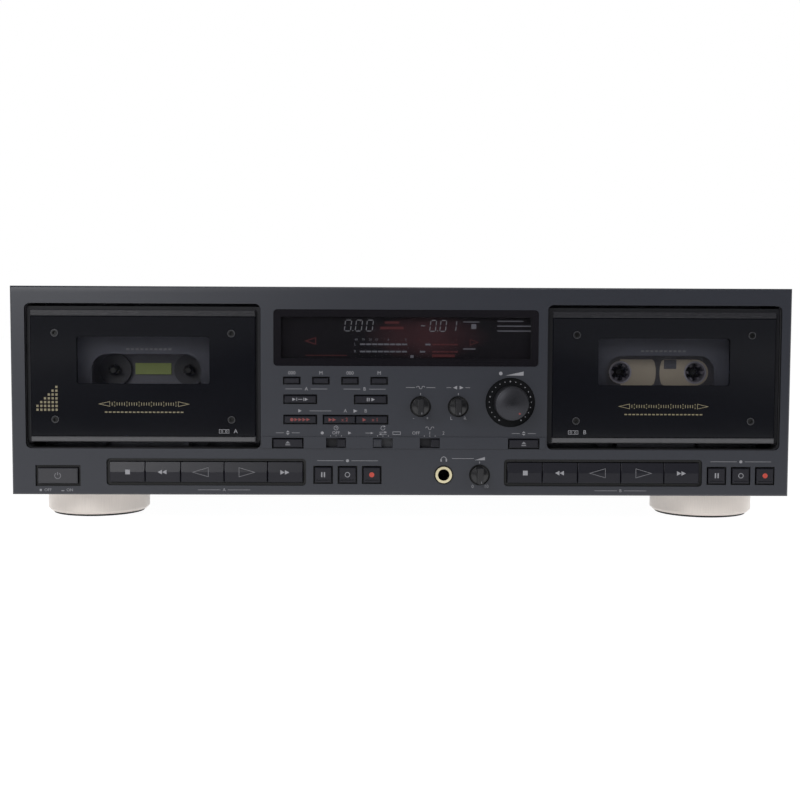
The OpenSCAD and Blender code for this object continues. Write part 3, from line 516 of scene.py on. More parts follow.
def head(u, v, w, h):
    """An arrow head's outline, anticlockwise: it points right, or left where w is negative."""
    tip, tail = (u + w / 2, v), u - w / 2
    ends = [(tail, v - h / 2), (tail, v + h / 2)]
    return [tip] + (ends[::-1] if w > 0 else ends)


def grow_inputs(tree, wanted):
    """Gives a tree its named inputs and returns the node that holds them."""
    for name, kind in wanted:
        tree.interface.new_socket(name, in_out="INPUT", socket_type=f"NodeSocket{kind}")
    tree.interface.new_socket("Geometry", in_out="OUTPUT", socket_type="NodeSocketGeometry")
    return tree.nodes.new("NodeGroupInput")


def end_tree(build, group, shape):
    """Ends a tree in Realize Instances and Set Material."""
    real = build.node("GeometryNodeRealizeInstances", None, {0: shape})
    painted = build.node(
        "GeometryNodeSetMaterial", None,
        {"Geometry": real, "Material": Value(build, group.outputs["Material"])},
    )
    end = build.nodes.new("NodeGroupOutput")
    build.links.new(painted.socket, end.inputs[0])


def row_tree():
    """Boxes of one size in a straight row."""
    tree = bpy.data.node_groups.new("row_of_bars", "GeometryNodeTree")
    group = grow_inputs(
        tree,
        (("Count", "Int"), ("Start", "Vector"), ("Step", "Vector"), ("Size", "Vector"),
         ("Material", "Material")),
    )
    build = Tree(tree)
    given = {name: Value(build, group.outputs[name]) for name in ("Count", "Start", "Step", "Size")}
    line = build.node(
        "GeometryNodeMeshLine", None,
        {"Count": given["Count"], "Start Location": given["Start"], "Offset": given["Step"]},
    )
    bar = build.node("GeometryNodeMeshCube", None, {"Size": given["Size"]})
    placed = build.node("GeometryNodeInstanceOnPoints", None, {"Points": line, "Instance": bar})
    end_tree(build, group, placed)
    return tree


def ring_tree(round_dots):
    """Round dots, or ribs that point outwards, on an arc round an axis that runs backwards."""
    name = "ring_of_dots" if round_dots else "ring_of_ribs"
    tree = bpy.data.node_groups.new(name, "GeometryNodeTree")
    group = grow_inputs(
        tree,
        (("Count", "Int"), ("Radius", "Float"), ("First", "Float"), ("Step", "Float"),
         ("Size", "Vector"), ("Centre", "Vector"), ("Material", "Material")),
    )
    build = Tree(tree)
    count, radius, first, step, size, centre = (
        Value(build, group.outputs[name])
        for name in ("Count", "Radius", "First", "Step", "Size", "Centre")
    )
    turn = first + build.node("GeometryNodeInputIndex") * step
    place = build.node(
        "ShaderNodeCombineXYZ", None,
        {"X": radius * turn.maths("COSINE"), "Z": radius * turn.maths("SINE")},
    )
    line = build.node("GeometryNodeMeshLine", None, {"Count": count, "Offset": (0.0, 0.0, 0.0)})
    points = build.node("GeometryNodeSetPosition", None, {"Geometry": line, "Position": place})
    if round_dots:
        width, depth = (
            build.node("ShaderNodeSeparateXYZ", None, {0: size}, i) for i in range(2)
        )
        dot = build.node(
            "GeometryNodeMeshCylinder", None,
            {"Vertices": 14, "Radius": width * 0.5, "Depth": depth},
        )
        shape = build.node(
            "GeometryNodeTransform", None, {"Geometry": dot, "Rotation": (math.pi / 2, 0.0, 0.0)}
        )
    else:
        shape = build.node("GeometryNodeMeshCube", None, {"Size": size})
    angles = build.node("ShaderNodeCombineXYZ", None, {"Y": math.pi / 2 - turn})
    facing = build.node("FunctionNodeEulerToRotation", None, {0: angles})
    placed = build.node(
        "GeometryNodeInstanceOnPoints", None,
        {"Points": points, "Instance": shape, "Rotation": facing},
    )
    moved = build.node("GeometryNodeTransform", None, {"Geometry": placed, "Translation": centre})
    end_tree(build, group, moved)
    return tree


TREES = {}


def grown(name, kind, **inputs):
    """Runs one of the trees once and returns its result as a plain mesh object."""
    if kind not in TREES:
        TREES[kind] = row_tree() if kind == "row" else ring_tree(kind == "dots")
    tree = TREES[kind]
    holder = new_object(name, bpy.data.meshes.new(name))
    modifier = holder.modifiers.new("grow", "NODES")
    modifier.node_group = tree
    for item in tree.interface.items_tree:
        if item.in_out == "INPUT":
            modifier[item.identifier] = inputs[item.name.lower()]
    bpy.context.view_layer.update()
    graph = bpy.context.evaluated_depsgraph_get()
    mesh = bpy.data.meshes.new_from_object(holder.evaluated_get(graph))
    holder.modifiers.remove(modifier)
    old = holder.data
    holder.data = mesh
    bpy.data.meshes.remove(old)
    mesh.materials.clear()
    mesh.materials.append(inputs["material"])
    mesh.polygons.foreach_set("material_index", [0] * len(mesh.polygons))
    return holder


def joined(name, pieces):
    """Makes several plain mesh objects one object."""
    shape = bmesh.new()
    materials = []
    for piece in pieces:
        start = len(shape.faces)
        shape.from_mesh(piece.data)
        shape.faces.ensure_lookup_table()
        material = piece.data.materials[0]
        if material not in materials:
            materials.append(material)
        for face in shape.faces[start:]:
            face.material_index = materials.index(material)
        old = piece.data
        bpy.data.objects.remove(piece)
        bpy.data.meshes.remove(old)
    mesh = bpy.data.meshes.new(name)
    shape.to_mesh(mesh)
    shape.free()
    for material in materials:
        mesh.materials.append(material)
    return new_object(name, mesh)


def printed_row(name, count, place, depth, pitch, size, colour):
    """Printed bars in a row: where the first is, the step to the next and a bar's size."""
    return grown(
        name, "row", count=count, start=at(*place, depth - PRINT_T / 2),
        step=mm(pitch[0], 0.0, pitch[1]), size=mm(size[0], PRINT_T, size[1]), material=inks(colour),
    )


def turned(name, profile, centre, material, steps=48):
    """A closed solid turned about an axis that runs backwards: profile holds radii and depths."""
    shape = bmesh.new()
    rings = []
    for r, depth in profile:
        loop = []
        for i in range(steps):
            a = 2 * math.pi * i / steps
            loop.append(shape.verts.new(
                centre + Vector((r * math.cos(a), depth, r * math.sin(a))) * MM
            ))
        rings.append(loop)
    for k, ring in enumerate(rings):
        after = rings[(k + 1) % len(rings)]
        for i in range(steps):
            j = (i + 1) % steps
            face = shape.faces.new((ring[i], ring[j], after[j], after[i]))
            face.smooth = True
    bmesh.ops.recalc_face_normals(shape, faces=shape.faces)
    mesh = bpy.data.meshes.new(name)
    shape.to_mesh(mesh)
    shape.free()
    mesh.materials.append(material)
    made = new_object(name, mesh)
    made.data.set_sharp_from_angle(angle=SMOOTH_ANGLE)
    return made


def colour_prop(name, description, default):
    return FloatVectorProperty(
        name=name, description=description, default=default,
        subtype="COLOR_GAMMA", size=3, min=0.0, max=1.0,
    )


def number_prop(name, description, default, **more):
    return FloatProperty(name=name, description=description, default=default, min=0.0, **more)


class DeckSettings(PropertyGroup):
    """The colours and sizes of the deck's finishes and small pieces."""

    panel: colour_prop("Panel", "Satin grey of the front panel", (0.155, 0.164, 0.195))
    # Recess grey is painted light: a grey lighter than the panel, painted deep in its openings to
    # lift the shade of the gaps.
    recess: colour_prop("Recess", "Dark grey deep in the panel's openings", (0.3, 0.3, 0.315))
    # Matt black is the real black of the level ring and the lens screws' middles, and painted shade
    # in the panel's shallow recesses.
    ring: colour_prop(
        "Matt black", "Black of the shallow recesses and the level ring", (0.045, 0.05, 0.06)
    )
    window_clear: number_prop("Clear window", "How clear the window of a lens is", 0.8, max=1.0)
    cover: colour_prop("Cover", "Textured paint of the top cover", (0.13, 0.13, 0.14))
    keys: colour_prop("Keys", "Moulded keys", (0.1, 0.1, 0.128))
    power_key: colour_prop("Power key", "Moulded power key", (0.17, 0.17, 0.19))
    knobs: colour_prop("Knobs", "Moulded knobs", (0.085, 0.086, 0.1))
    level_face: colour_prop(
        "Level knob", "Dark metallic face of the level knob", (0.215, 0.217, 0.235)
    )
    lens: colour_prop("Lens", "Smoked lens of a tape door", (0.046, 0.05, 0.072))
    door_rim: colour_prop("Door rim", "Near black of a door round its lens", (0.15, 0.152, 0.168))
    carrier: colour_prop("Carrier", "Moulded carrier behind a lens", (0.315, 0.32, 0.36))
    # Both strips are one metal: the upper is painted darker as painted shade, the lower lighter as
    # a painted reflection of the white floor.
    strip_top_painted_shade: colour_prop("Upper strip", "Metal strip over a lens", (0.15, 0.15, 0.165))
    strip_low_painted_reflection: colour_prop("Lower strip", "Metal strip under a lens", (0.31, 0.31, 0.32))
    screw_rim: colour_prop("Screw rim", "Rim of a lens screw", (0.27, 0.27, 0.285))
    feet: colour_prop("Feet", "Champagne silver of the feet", (0.975, 0.94, 0.91))
    shell: colour_prop("Shell", "Cassette shell", (0.29, 0.285, 0.31))
    discs: colour_prop("Packs", "Cream tape packs of the cassette", (0.66, 0.62, 0.56))
    hubs: colour_prop("Hubs", "Hubs of the cassette", (0.4, 0.39, 0.43))
    hub_rim: colour_prop("Hub rims", "Rims round the cassette's hubs", (0.6, 0.59, 0.64))
    reflector: colour_prop("Reflector", "Green reflector behind the hubs", (0.62, 0.68, 0.39))
    ink_pale: colour_prop("Pale print", "Bright marks on keys", (0.55, 0.55, 0.57))
    ink_soft: colour_prop("Soft print", "Marks on the panel", (0.52, 0.52, 0.54))
    ink_gold: colour_prop("Gold print", "Marks on the lenses", (0.46, 0.43, 0.335))
    ink_grey: colour_prop("Grey print", "Faint marks", (0.42, 0.42, 0.44))
    ink_red: colour_prop("Red print", "Marks of the copy keys", (0.46, 0.2, 0.2))
    ink_record: colour_prop("Record red", "Mark of a record key", (0.7, 0.25, 0.2))
    display_lit: colour_prop("Lit", "Lit parts of the display", (0.55, 0.55, 0.58))
    display_dim: colour_prop("Dim", "Faint parts of the display", (0.5, 0.5, 0.54))
    display_red: colour_prop("Red glow", "Red parts of the display", (0.4, 0.17, 0.18))
    display_glow: number_prop("Glow", "Brightness of the display", 0.45, max=5.0)
    dot_count: IntProperty(name="Dots", description="Dots round the level knob", default=21, min=2)
    dot_radius: number_prop(
        "Dot circle", "Radius of the circle of dots", 11.6 * MM, unit="LENGTH", subtype="DISTANCE"
    )
    rib_count: IntProperty(
        name="Ribs", description="Grip ribs round the level knob", default=72, min=8
    )
    ambient: number_prop("Room light", "Light from all round", 0.45)
    gloss_room: number_prop("Room in gloss", "The room as gloss mirrors it", 0.18)
    key_light: number_prop("Main light", "Light from the upper left", 16.0, unit="POWER")
    fill_light: number_prop("Fill light", "Light from the right", 6.0, unit="POWER")
    window_light: number_prop(
        "Window light", "Window on the left that gloss mirrors", 8.5, unit="POWER"
    )


# The floor's lengths are in metres
FLOOR_HALF = 6.0
FLOOR_GAP = 0.0003
# The next two bound the painted shadow on the floor under the deck: the width of its soft edges,
# and where it begins and is full towards the front.
FLOOR_SHADE = 0.03
FLOOR_SHADOW_START = (-0.02, 0.0)
FLOOR_FADE = (0.3, 0.55)
FLOOR_WHITE = 0.95
FLOOR_SIDES = 0.3
FLOOR_SIDE_FADE = (0.4, 1.0)
FLOOR_GREYS = (0.16, 0.9, 0.08)
BACKDROP = 1.0
# Each light's place and size in metres, the setting of its power and the rays that miss it
LAMPS = (
    ("main_light", (-1.0, -1.25, 1.0), (1.1, 0.8), "key_light", "glossy"),
    ("fill_light", (1.2, -1.0, 0.7), (0.8, 0.8), "fill_light", "glossy"),
    ("top_light", (0.0, 0.25, 1.5), (1.2, 0.8), "fill_light", None),
    ("window_light", (-0.62, -1.33, 0.55), (0.56, 0.5), "window_light", "diffuse"),
)
LIGHT_AIM = (0.0, -0.05, 0.07)
CAMERA_SENSOR = 36.0
CAMERA_LENS = 57.18
CAMERA_CLIP = (0.05, 50.0)
CAMERA_TURN = (-0.68, 3.608, 0.237)
CAMERA_PLACE = (-9.38, 97.11, -700.0)


class DECK_OT_stage(Operator):
    """Floor, light and camera"""

    bl_idname = "deck.stage"
    bl_label = "Stage"

    def execute(self, context):
        look = settings()
        scene = context.scene
        scene.view_settings.view_transform = "Standard"
        self.world(scene, look)
        self.floor()
        for name, place, size, power, missed in LAMPS:
            lamp = self.lamp(name, place, size, getattr(look, power))
            if missed:
                setattr(lamp, f"visible_{missed}", False)
        self.camera(scene)
        return {"FINISHED"}

    def world(self, scene, look):
        """White to the camera, and a grey room to the light and the gloss."""
        world = bpy.data.worlds.new("room")
        scene.world = world
        world.use_nodes = True
        tree = Tree(world.node_tree)
        room, gloss, white = (
            tree.node(
                "ShaderNodeBackground", None, {"Color": (1.0, 1.0, 1.0, 1.0), "Strength": level}
            )
            for level in (look.ambient, look.gloss_room, BACKDROP)
        )
        camera, glossy = (
            tree.node("ShaderNodeLightPath", output=f"Is {ray} Ray") for ray in ("Camera", "Glossy")
        )
        lit = tree.node("ShaderNodeMixShader", None, {0: glossy, 1: room, 2: gloss})
        both = tree.node("ShaderNodeMixShader", None, {0: camera, 1: lit, 2: white})
        tree.links.new(both.socket, world.node_tree.nodes["World Output"].inputs[0])

    def floor(self):
        """A white floor with a painted shadow under the deck's footprint, which gloss mirrors
        darker further off.
        """
        shape = bmesh.new()
        bmesh.ops.create_grid(shape, x_segments=8, y_segments=8, size=FLOOR_HALF)
        mesh = bpy.data.meshes.new("floor")
        shape.to_mesh(mesh)
        shape.free()
        finish = Finish("floor_white")
        camera, glossy, through = (
            finish.node("ShaderNodeLightPath", output=f"Is {ray} Ray")
            for ray in ("Camera", "Glossy", "Transmission")
        )
        near = 1 - (FACE_Y - finish.y).ramp(*FLOOR_FADE)
        mirrored = glossy + through
        white = finish.node("ShaderNodeEmission", None, {"Strength": FLOOR_WHITE})
        faint, plain, dark = (
            finish.node("ShaderNodeBsdfDiffuse", None, {"Color": (level, level, level, 1.0)})
            for level in FLOOR_GREYS
        )
        high = CAD_BOX[1]
        # Painted shadow: under the deck's footprint the floor loses its white glow for the camera
        # and near gloss, whatever the light.
        under = abs(finish.x).ramp(high.x, high.x - FLOOR_SHADE) * finish.y.ramp(*FLOOR_SHADOW_START)
        under = under * finish.y.ramp(high.y + FLOOR_SHADE, high.y)
        sides = abs(finish.x).ramp(*FLOOR_SIDE_FADE)
        lit = finish.node("ShaderNodeAddShader", None, {0: white, 1: faint})
        bright = finish.node("ShaderNodeMixShader", None, {0: under, 1: lit, 2: faint})
        aside = finish.node("ShaderNodeEmission", None, {"Strength": FLOOR_SIDES})
        far = finish.node("ShaderNodeMixShader", None, {0: sides, 1: dark, 2: aside})
        away = finish.node("ShaderNodeMixShader", None, {0: mirrored, 1: plain, 2: far})
        shown = camera + mirrored * near
        both = finish.node("ShaderNodeMixShader", None, {0: shown, 1: away, 2: bright})
        finish.links.new(both.socket, finish.nodes["Material Output"].inputs[0])
        mesh.materials.append(finish.material)
        mesh.transform(Matrix.Translation((0.0, 0.0, -FLOOR_GAP)))
        new_object("floor", mesh)

    def lamp(self, name, place, size, power):
        """An area light aimed at the deck."""
        light = bpy.data.lights.new(name, "AREA")
        light.shape = "RECTANGLE"
        light.size, light.size_y = size
        light.energy = power
        lamp = new_object(name, light)
        lamp.location = place
        aim = Vector(LIGHT_AIM) - lamp.location
        lamp.rotation_euler = aim.to_track_quat("-Z", "Y").to_euler()
        return lamp

    def camera(self, scene):
        """A camera before the panel, turned by yaw, pitch and roll in degrees."""
        lens = bpy.data.cameras.new("camera")
        lens.sensor_fit = "HORIZONTAL"
        lens.sensor_width = CAMERA_SENSOR
        lens.lens = CAMERA_LENS
        lens.clip_start, lens.clip_end = CAMERA_CLIP
        camera = new_object("camera", lens)
        yaw, pitch, roll = (math.radians(a) for a in CAMERA_TURN)
        level = Matrix(((1, 0, 0), (0, 0, -1), (0, 1, 0)))
        turn = Matrix.Rotation(pitch, 3, "X") @ Matrix.Rotation(yaw, 3, "Y")
        right, down, forward = Matrix.Rotation(roll, 3, "Z") @ turn @ level
        axes = Matrix((right, -down, -forward)).transposed().to_4x4()
        axes.translation = at(*CAMERA_PLACE)
        camera.matrix_world = axes
        scene.camera = camera


PANEL_ROUND = 0.3
PANEL_EDGE = 1.7
# Depths in millimetres: where the recesses start to take painted shade, and where that black gives
# way to the grey painted as light deep in the openings.
RECESS_SHADE_DEPTHS = (0.3, 0.5)
SHADE_LIFT_DEPTHS = (1.8, 3.2)
EDGE_ROUND = 3.5
EDGE_FALL = 0.1
GRAIN_MM = 0.002
GILT_R = 4.55
GILT_DEPTH = 0.5
PLATED_FROM = 0.1
WINDING_FROM = 12.3
REEL_TABLE = 6.7
REFLECTOR_HALF = 10.4
REFLECTOR_V = (65, 72)
REFLECTOR_DEPTH = (29, 32.9)


class DECK_OT_cabinet(Operator):
    """Finishes of the panel, the case and what is inside it"""

    bl_idname = "deck.cabinet"
    bl_label = "Cabinet"

    def execute(self, context):
        look = settings()
        dress(["front_panel"], self.panel(look))
        soften(["front_panel"], PANEL_ROUND)
        dress(["top_cover"], self.cover("cover_texture_paint", look.cover, 0.6, 0.35))
        dress(["rear_panel"], self.cover("rear_satin_paint", look.cover, 0.25, 0.15))
        dress(["chassis"], metal("zinc_plate", (0.62, 0.63, 0.64), 0.38, grain_mm=6))
        dress(["case_screws"], metal("black_zinc", (0.2, 0.2, 0.21), 0.35))
        dress(["feet"], metal("champagne_silver", look.feet, 0.34, (1, 1, 30), 0.35))
        dress(["foot_pads"], moulded("foot_rubber", (0.1, 0.1, 0.1), 0.8, 0.3, 0.4))
        dress(["rear_sockets"], self.sockets())
        dress(["headphone_socket"], self.phones())
        dress(["circuit_boards"], self.boards())
        dress(["power_transformer"], self.transformer())
        dress(["tape_mechanisms"], self.mechanism(look))
        dress(REELS, self.reels())
        return {"FINISHED"}

    def panel(self, look):
        """Satin grey, with matt black painted shade in its shallow recesses and a grey painted as
        light deep in the openings, lighter than the panel to lift the shade of the gaps.
        """
        finish = Finish("panel_satin_grey")
        depth = (finish.y - FACE_Y) / MM
        field = finish.inside_front(PANEL_LOW, PANEL_HIGH, PANEL_EDGE)
        # Painted shade and light: inside the face, recessed surfaces take a painted tone set by
        # their depth.
        sunk = depth.ramp(*RECESS_SHADE_DEPTHS) * field
        shallow = 1 - depth.ramp(*SHADE_LIFT_DEPTHS)
        grain = finish.noise(0.35, 3.0)
        cloud = finish.noise(60)
        paint = finish.mix(cloud, linear(look.panel, 0.94), linear(look.panel, 1.06))
        # Painted tone of the recesses: matt black as painted shade near the face, the recess grey
        # as painted light deeper in.
        inner = finish.mix(shallow, linear(look.recess), linear(look.ring))
        height = grain * GRAIN_MM - self.rounding(finish)
        return finish.surface(
            base_color=finish.mix(sunk, paint, inner),
            roughness=0.3 + grain * 0.1 + sunk * 0.25,
            normal=finish.bump(height, 1.0, 1.0),
        )

    def rounding(self, finish):
        """How far the paint falls away, in millimetres, near the outer edges."""
        low, high = PANEL_LOW, PANEL_HIGH
        fall = 0.0
        for axis, first, last in ((finish.x, low.x, high.x), (finish.z, low.z, high.z)):
            inward = (axis - first).maths("MINIMUM", last - axis) / MM
            fall = (1 - inward.ramp(0.0, EDGE_ROUND)) ** 2 * EDGE_FALL + fall
        return fall

    def cover(self, name, colour, grain_mm, bump):
        """Textured paint on sheet metal."""
        finish = Finish(name)
        grain = finish.noise(grain_mm, 1.0)
        cloud = finish.noise(80)
        return finish.surface(
            base_color=mottled(finish, colour, cloud, 0.08),
            roughness=0.5 + grain * 0.15,
            normal=finish.bump(grain, bump, 0.08),
        )

    def sockets(self):
        """Black plastic with plated collars."""
        finish = Finish("socket_plastic_and_plate")
        plated = (finish.y > REAR_Y + PLATED_FROM * MM) * (finish.x > 0.0)
        brush = finish.noise(0.4, 2.0)
        plastic = mottled(finish, (0.1, 0.1, 0.105), brush)
        plate = mottled(finish, (0.74, 0.73, 0.7), brush, 0.06)
        return finish.surface(
            base_color=finish.mix(plated, plastic, plate),
            metallic=plated,
            roughness=0.45 - plated * 0.2 + brush * 0.08,
            normal=finish.bump(brush, 0.1, 0.02),
        )

    def phones(self):
        """Black plastic with a gilt rim."""
        finish = Finish("phones_socket_gilt_and_plastic")
        u, v, _ = middle("headphone_socket")
        centre = at(u, v)
        radius = distance(finish.x - centre.x, finish.z - centre.z)
        rim = (finish.y < FACE_Y + GILT_DEPTH * MM) * (radius < GILT_R * MM)
        brush = finish.noise(0.3, 2.0)
        plastic = mottled(finish, (0.08, 0.08, 0.085), brush)
        gilt = mottled(finish, (0.9, 0.86, 0.72), brush, 0.05)
        return finish.surface(
            base_color=finish.mix(rim, plastic, gilt),
            metallic=rim,
            roughness=0.4 - rim * 0.15 + brush * 0.06,
        )

    def boards(self):
        """Green lacquer over tracks."""
        finish = Finish("board_and_components")
        weave = finish.noise(1.2, 3.0)
        tracks = finish.node(
            "ShaderNodeTexVoronoi", {"distance": "MANHATTAN"},
            {"Vector": finish.place, "Scale": 180.0},
        ).ramp(0.35, 0.45)
        green = finish.mix(tracks, linear((0.2, 0.3, 0.16)), linear((0.28, 0.4, 0.2)))
        return finish.surface(base_color=green, roughness=0.4 + weave * 0.2)

    def transformer(self):
        """Steel leaves with copper windings."""
        finish = Finish("laminations_and_winding")
        low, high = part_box("power_transformer")
        centre_y = (low.y + high.y) / 2
        winding = abs(finish.y - centre_y) > WINDING_FROM * MM
        leaves = finish.node(
            "ShaderNodeTexWave", {"bands_direction": "Y"},
            {"Vector": finish.place, "Scale": 320.0}, 1,
        )
        steel = finish.mix(leaves, linear((0.36, 0.36, 0.37)), linear((0.5, 0.5, 0.5)))
        copper = mottled(finish, (0.6, 0.38, 0.2), finish.noise(0.8), 0.2)
        return finish.surface(
            base_color=finish.mix(winding, steel, copper),
            metallic=0.8,
            roughness=0.4 + leaves * 0.15,
        )

    def reels(self):
        """Grey turntables that carry black spindles."""
        finish = Finish("reel_grey_and_black")
        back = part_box(REELS[0])[1].y
        table = finish.y > back - REEL_TABLE * MM
        cloud = finish.noise(30)
        black = mottled(finish, (0.12, 0.12, 0.13), cloud)
        grey = mottled(finish, (0.3, 0.3, 0.34), cloud)
        return finish.surface(
            base_color=finish.mix(table, black, grey), roughness=0.4 + cloud * 0.06
        )

    def mechanism(self, look):
        """Zinc plate, with the green reflector between the reels and a painted glow on it."""
        finish = Finish("mechanism_zinc_and_reflector")
        brush = finish.noise(0.6, 3.0, (12, 1, 1))
        green = 0.0
        for deck in DECKS:
            u = middle(f"door_lens_{deck}")[0]
            low, high = (
                at(u + side * REFLECTOR_HALF, v, depth)
                for side, v, depth in zip((-1, 1), REFLECTOR_V, REFLECTOR_DEPTH)
            )
            green = finish.inside(low, high) + green
        plate = mottled(finish, (0.46, 0.46, 0.5), brush, 0.12)
        return finish.surface(
            base_color=finish.mix(green, plate, linear(look.reflector)),
            metallic=0.4 - green * 0.4,
            roughness=0.4 + brush * 0.1,
            # Painted glow: the reflector emits light, though it is no lamp.
            emission_color=finish.mix(green, (0.0, 0.0, 0.0, 1.0), linear(look.reflector, 0.6)),
            emission_strength=0.27,
        )


WINDOW_SIZE = (73.0, 26.0)
WINDOW_V = 74.35
WINDOW_CORNER = 1.5
STRIP_LIMIT_V = 60.0
PLATE_DEPTH = 10.2
LENS_SCREW_U = 48.5
LENS_SCREW_V = (41.6, 89.2)
LENS_SCREW_R = 1.7
LENS_SCREW_REACH = 3.0


class DECK_OT_doors(Operator):
    """Smoked lenses with their clear windows, carriers and metal strips"""

    bl_idname = "deck.doors"
    bl_label = "Tape doors"

    def execute(self, context):
        look = settings()
        dress(["door_a", "door_b"], self.carrier(look))
        for deck in DECKS:
            dress([f"door_lens_{deck}"], self.lens(look, deck))
            dress([f"door_trim_{deck}"], self.strips(look, deck))
        return {"FINISHED"}

    def carrier(self, look):
        """Near black round the lens, and grey on the plate that steadies the cassette."""
        finish = Finish("carrier_black_and_grey")
        plate = finish.y > FACE_Y + PLATE_DEPTH * MM
        grain = finish.noise(0.5)
        cloud = finish.noise(30)
        black = mottled(finish, look.door_rim, cloud)
        grey = mottled(finish, look.carrier, cloud, 0.08)
        return finish.surface(
            base_color=finish.mix(plate, black, grey),
            roughness=0.5 + grain * 0.1,
            normal=finish.bump(grain, 0.08, 0.03),
            specular=0.2,
        )

    def lens(self, look, deck):
        """Smoked plastic that is clear in its window."""
        finish = Finish(f"smoked_lens_{deck}")
        u, _, _ = middle(f"door_lens_{deck}")
        clear = rounded_distance(finish, at(u, WINDOW_V), WINDOW_SIZE, WINDOW_CORNER) < 0.0
        wipe = finish.noise(14, 3.0, (3, 1, 1))
        return finish.surface(
            base_color=mottled(finish, look.lens, wipe, 0.1),
            roughness=0.06 + wipe * 0.05,
            alpha=1.0 - clear * look.window_clear,
            ior=ACRYLIC_IOR,
        )

    def strips(self, look, deck):
        """Brushed metal strips, the upper darker as painted shade and the lower lighter as a
        painted reflection of the floor, and the lens screws.
        """
        finish = Finish(f"strip_metal_{deck}")
        # Painted shade and reflection: above STRIP_LIMIT_V the strip takes the darker colour, below
        # it the lighter one.
        upper = finish.z > PANEL_Z + STRIP_LIMIT_V * MM
        brush = finish.noise(0.2, 3.0, (40, 1, 1))
        low = mottled(finish, look.strip_low_painted_reflection, brush, 0.08)
        high = mottled(finish, look.strip_top_painted_shade, brush, 0.08)
        u, _, _ = middle(f"door_lens_{deck}")
        centre = at(u, sum(LENS_SCREW_V) / 2)
        off_x = abs(finish.x - centre.x) / MM - LENS_SCREW_U
        off_z = abs(finish.z - centre.z) / MM - (LENS_SCREW_V[1] - LENS_SCREW_V[0]) / 2
        radius = distance(off_x, off_z)
        head = finish.mix(radius > LENS_SCREW_R, linear(look.ring), linear(look.screw_rim))
        strip = finish.mix(upper, low, high)
        return finish.surface(
            base_color=finish.mix(radius < LENS_SCREW_REACH, strip, head),
            metallic=0.1,
            roughness=0.22 + brush * 0.1,
            normal=finish.bump(brush, 0.06, 0.02),
        )


KEY_ROUND = 0.12
MARK_BACK = 0.3
LEANING = tuple(f"_{key}_key" for key in TRANSPORT)


class DECK_OT_keys(Operator):
    """Keys and the marks on them"""

    bl_idname = "deck.keys"
    bl_label = "Keys"

    def execute(self, context):
        look = settings()
        dress(KEYS, moulded("key_satin_black", look.keys, 0.36, 0.4, 0.08, specular=0.3))
        dress(["power_button"], moulded("power_key_grey", look.power_key, 0.36, 0.4, 0.08))
        soften(KEYS, KEY_ROUND)
        for deck in DECKS:
            for key in TRANSPORT + SQUARES:
                self.mark(f"deck_{deck}_{key}_key", getattr(self, key))
            self.mark(f"door_key_{deck}", self.eject)
        for key, draw in (
            ("power_button", self.power), ("blank_skip_key", self.skip),
            ("auto_pause_key", self.auto_pause), ("start_key", self.start),
            ("dub_fast_key", self.fast), ("dub_normal_key", self.normal),
        ):
            self.mark(key, draw)
        return {"FINISHED"}

    def mark(self, key, draw):
        """A mark, which reaches back to the key's upper half where that leans."""
        u, v, depth = middle(key)
        back = MARK_BACK if key.endswith(LEANING) else 0.0
        sheet = Print(depth + back, PRINT_T + back)
        draw(sheet, u, v)
        name = key.removesuffix("_key").removesuffix("_button")
        sheet.make(f"{name}_mark", key)

    def stop(self, p, u, v):
        p.box(u + 0.3, v, 2.6, 2.6, "pale")

    def rewind(self, p, u, v):
        for side in (-1.25, 1.25):
            p.point(u + side - 0.3, v, -2.4, 2.5, "pale")

    def forward(self, p, u, v):
        for side in (-1.25, 1.25):
            p.point(u + side - 0.2, v, 2.4, 2.5, "pale")

    def reverse(self, p, u, v):
        p.open_point(u - 1.1, v, -9.2, 5.4, 0.26, "grey")

    def play(self, p, u, v):
        p.open_point(u + 0.8, v, 9.2, 5.4, 0.26, "grey")

    def pause(self, p, u, v):
        for side in (-0.75, 0.75):
            p.box(u + side, v + 0.2, 0.7, 2.8, "pale")

    def mute(self, p, u, v):
        p.ring(u, v + 0.2, 1.45, 0.34, "pale")

    def record(self, p, u, v):
        p.disc(u, v + 0.2, 1.4, "record")

    def eject(self, p, u, v):
        p.poly([(u - 1.3, v - 0.1), (u + 1.3, v - 0.1), (u, v + 1.3)], "grey")
        p.box(u, v - 0.85, 2.6, 0.6, "grey")

    def power(self, p, u, v):
        p.arc(u, v, 1.8, 0.36, 120, 420, "grey", 24)
        p.box(u, v + 1.2, 0.38, 1.8, "grey")

    def skip(self, p, u, v):
        p.point(u - 3.4, v, 1.8, 1.8, "soft")
        p.box(u - 1.9, v, 0.3, 1.8, "soft")
        p.box(u, v, 2.4, 0.3, "soft")
        p.box(u + 1.9, v, 0.3, 1.8, "soft")
        p.point(u + 3.4, v, 1.8, 1.8, "soft")

    def auto_pause(self, p, u, v):
        for side in (-1.9, -0.9):
            p.box(u + side, v, 0.5, 1.9, "soft")
        p.point(u + 1.3, v, 1.9, 1.9, "soft")

    def start(self, p, u, v):
        p.disc(u - 4.6, v, 0.95, "red")
        for side in (-2.2, 0.0, 2.2, 4.4):
            p.point(u + side, v, 1.9, 1.9, "red")

    def fast(self, p, u, v):
        for side in (-5.0, -2.9):
            p.point(u + side, v, 2.0, 2.0, "red")
        p.words("x 2", u + 2.8, v, 2.0, "red")

    def normal(self, p, u, v):
        p.point(u - 3.9, v, 2.0, 2.0, "red")
        p.words("x 1", u + 2.0, v, 2.0, "red")


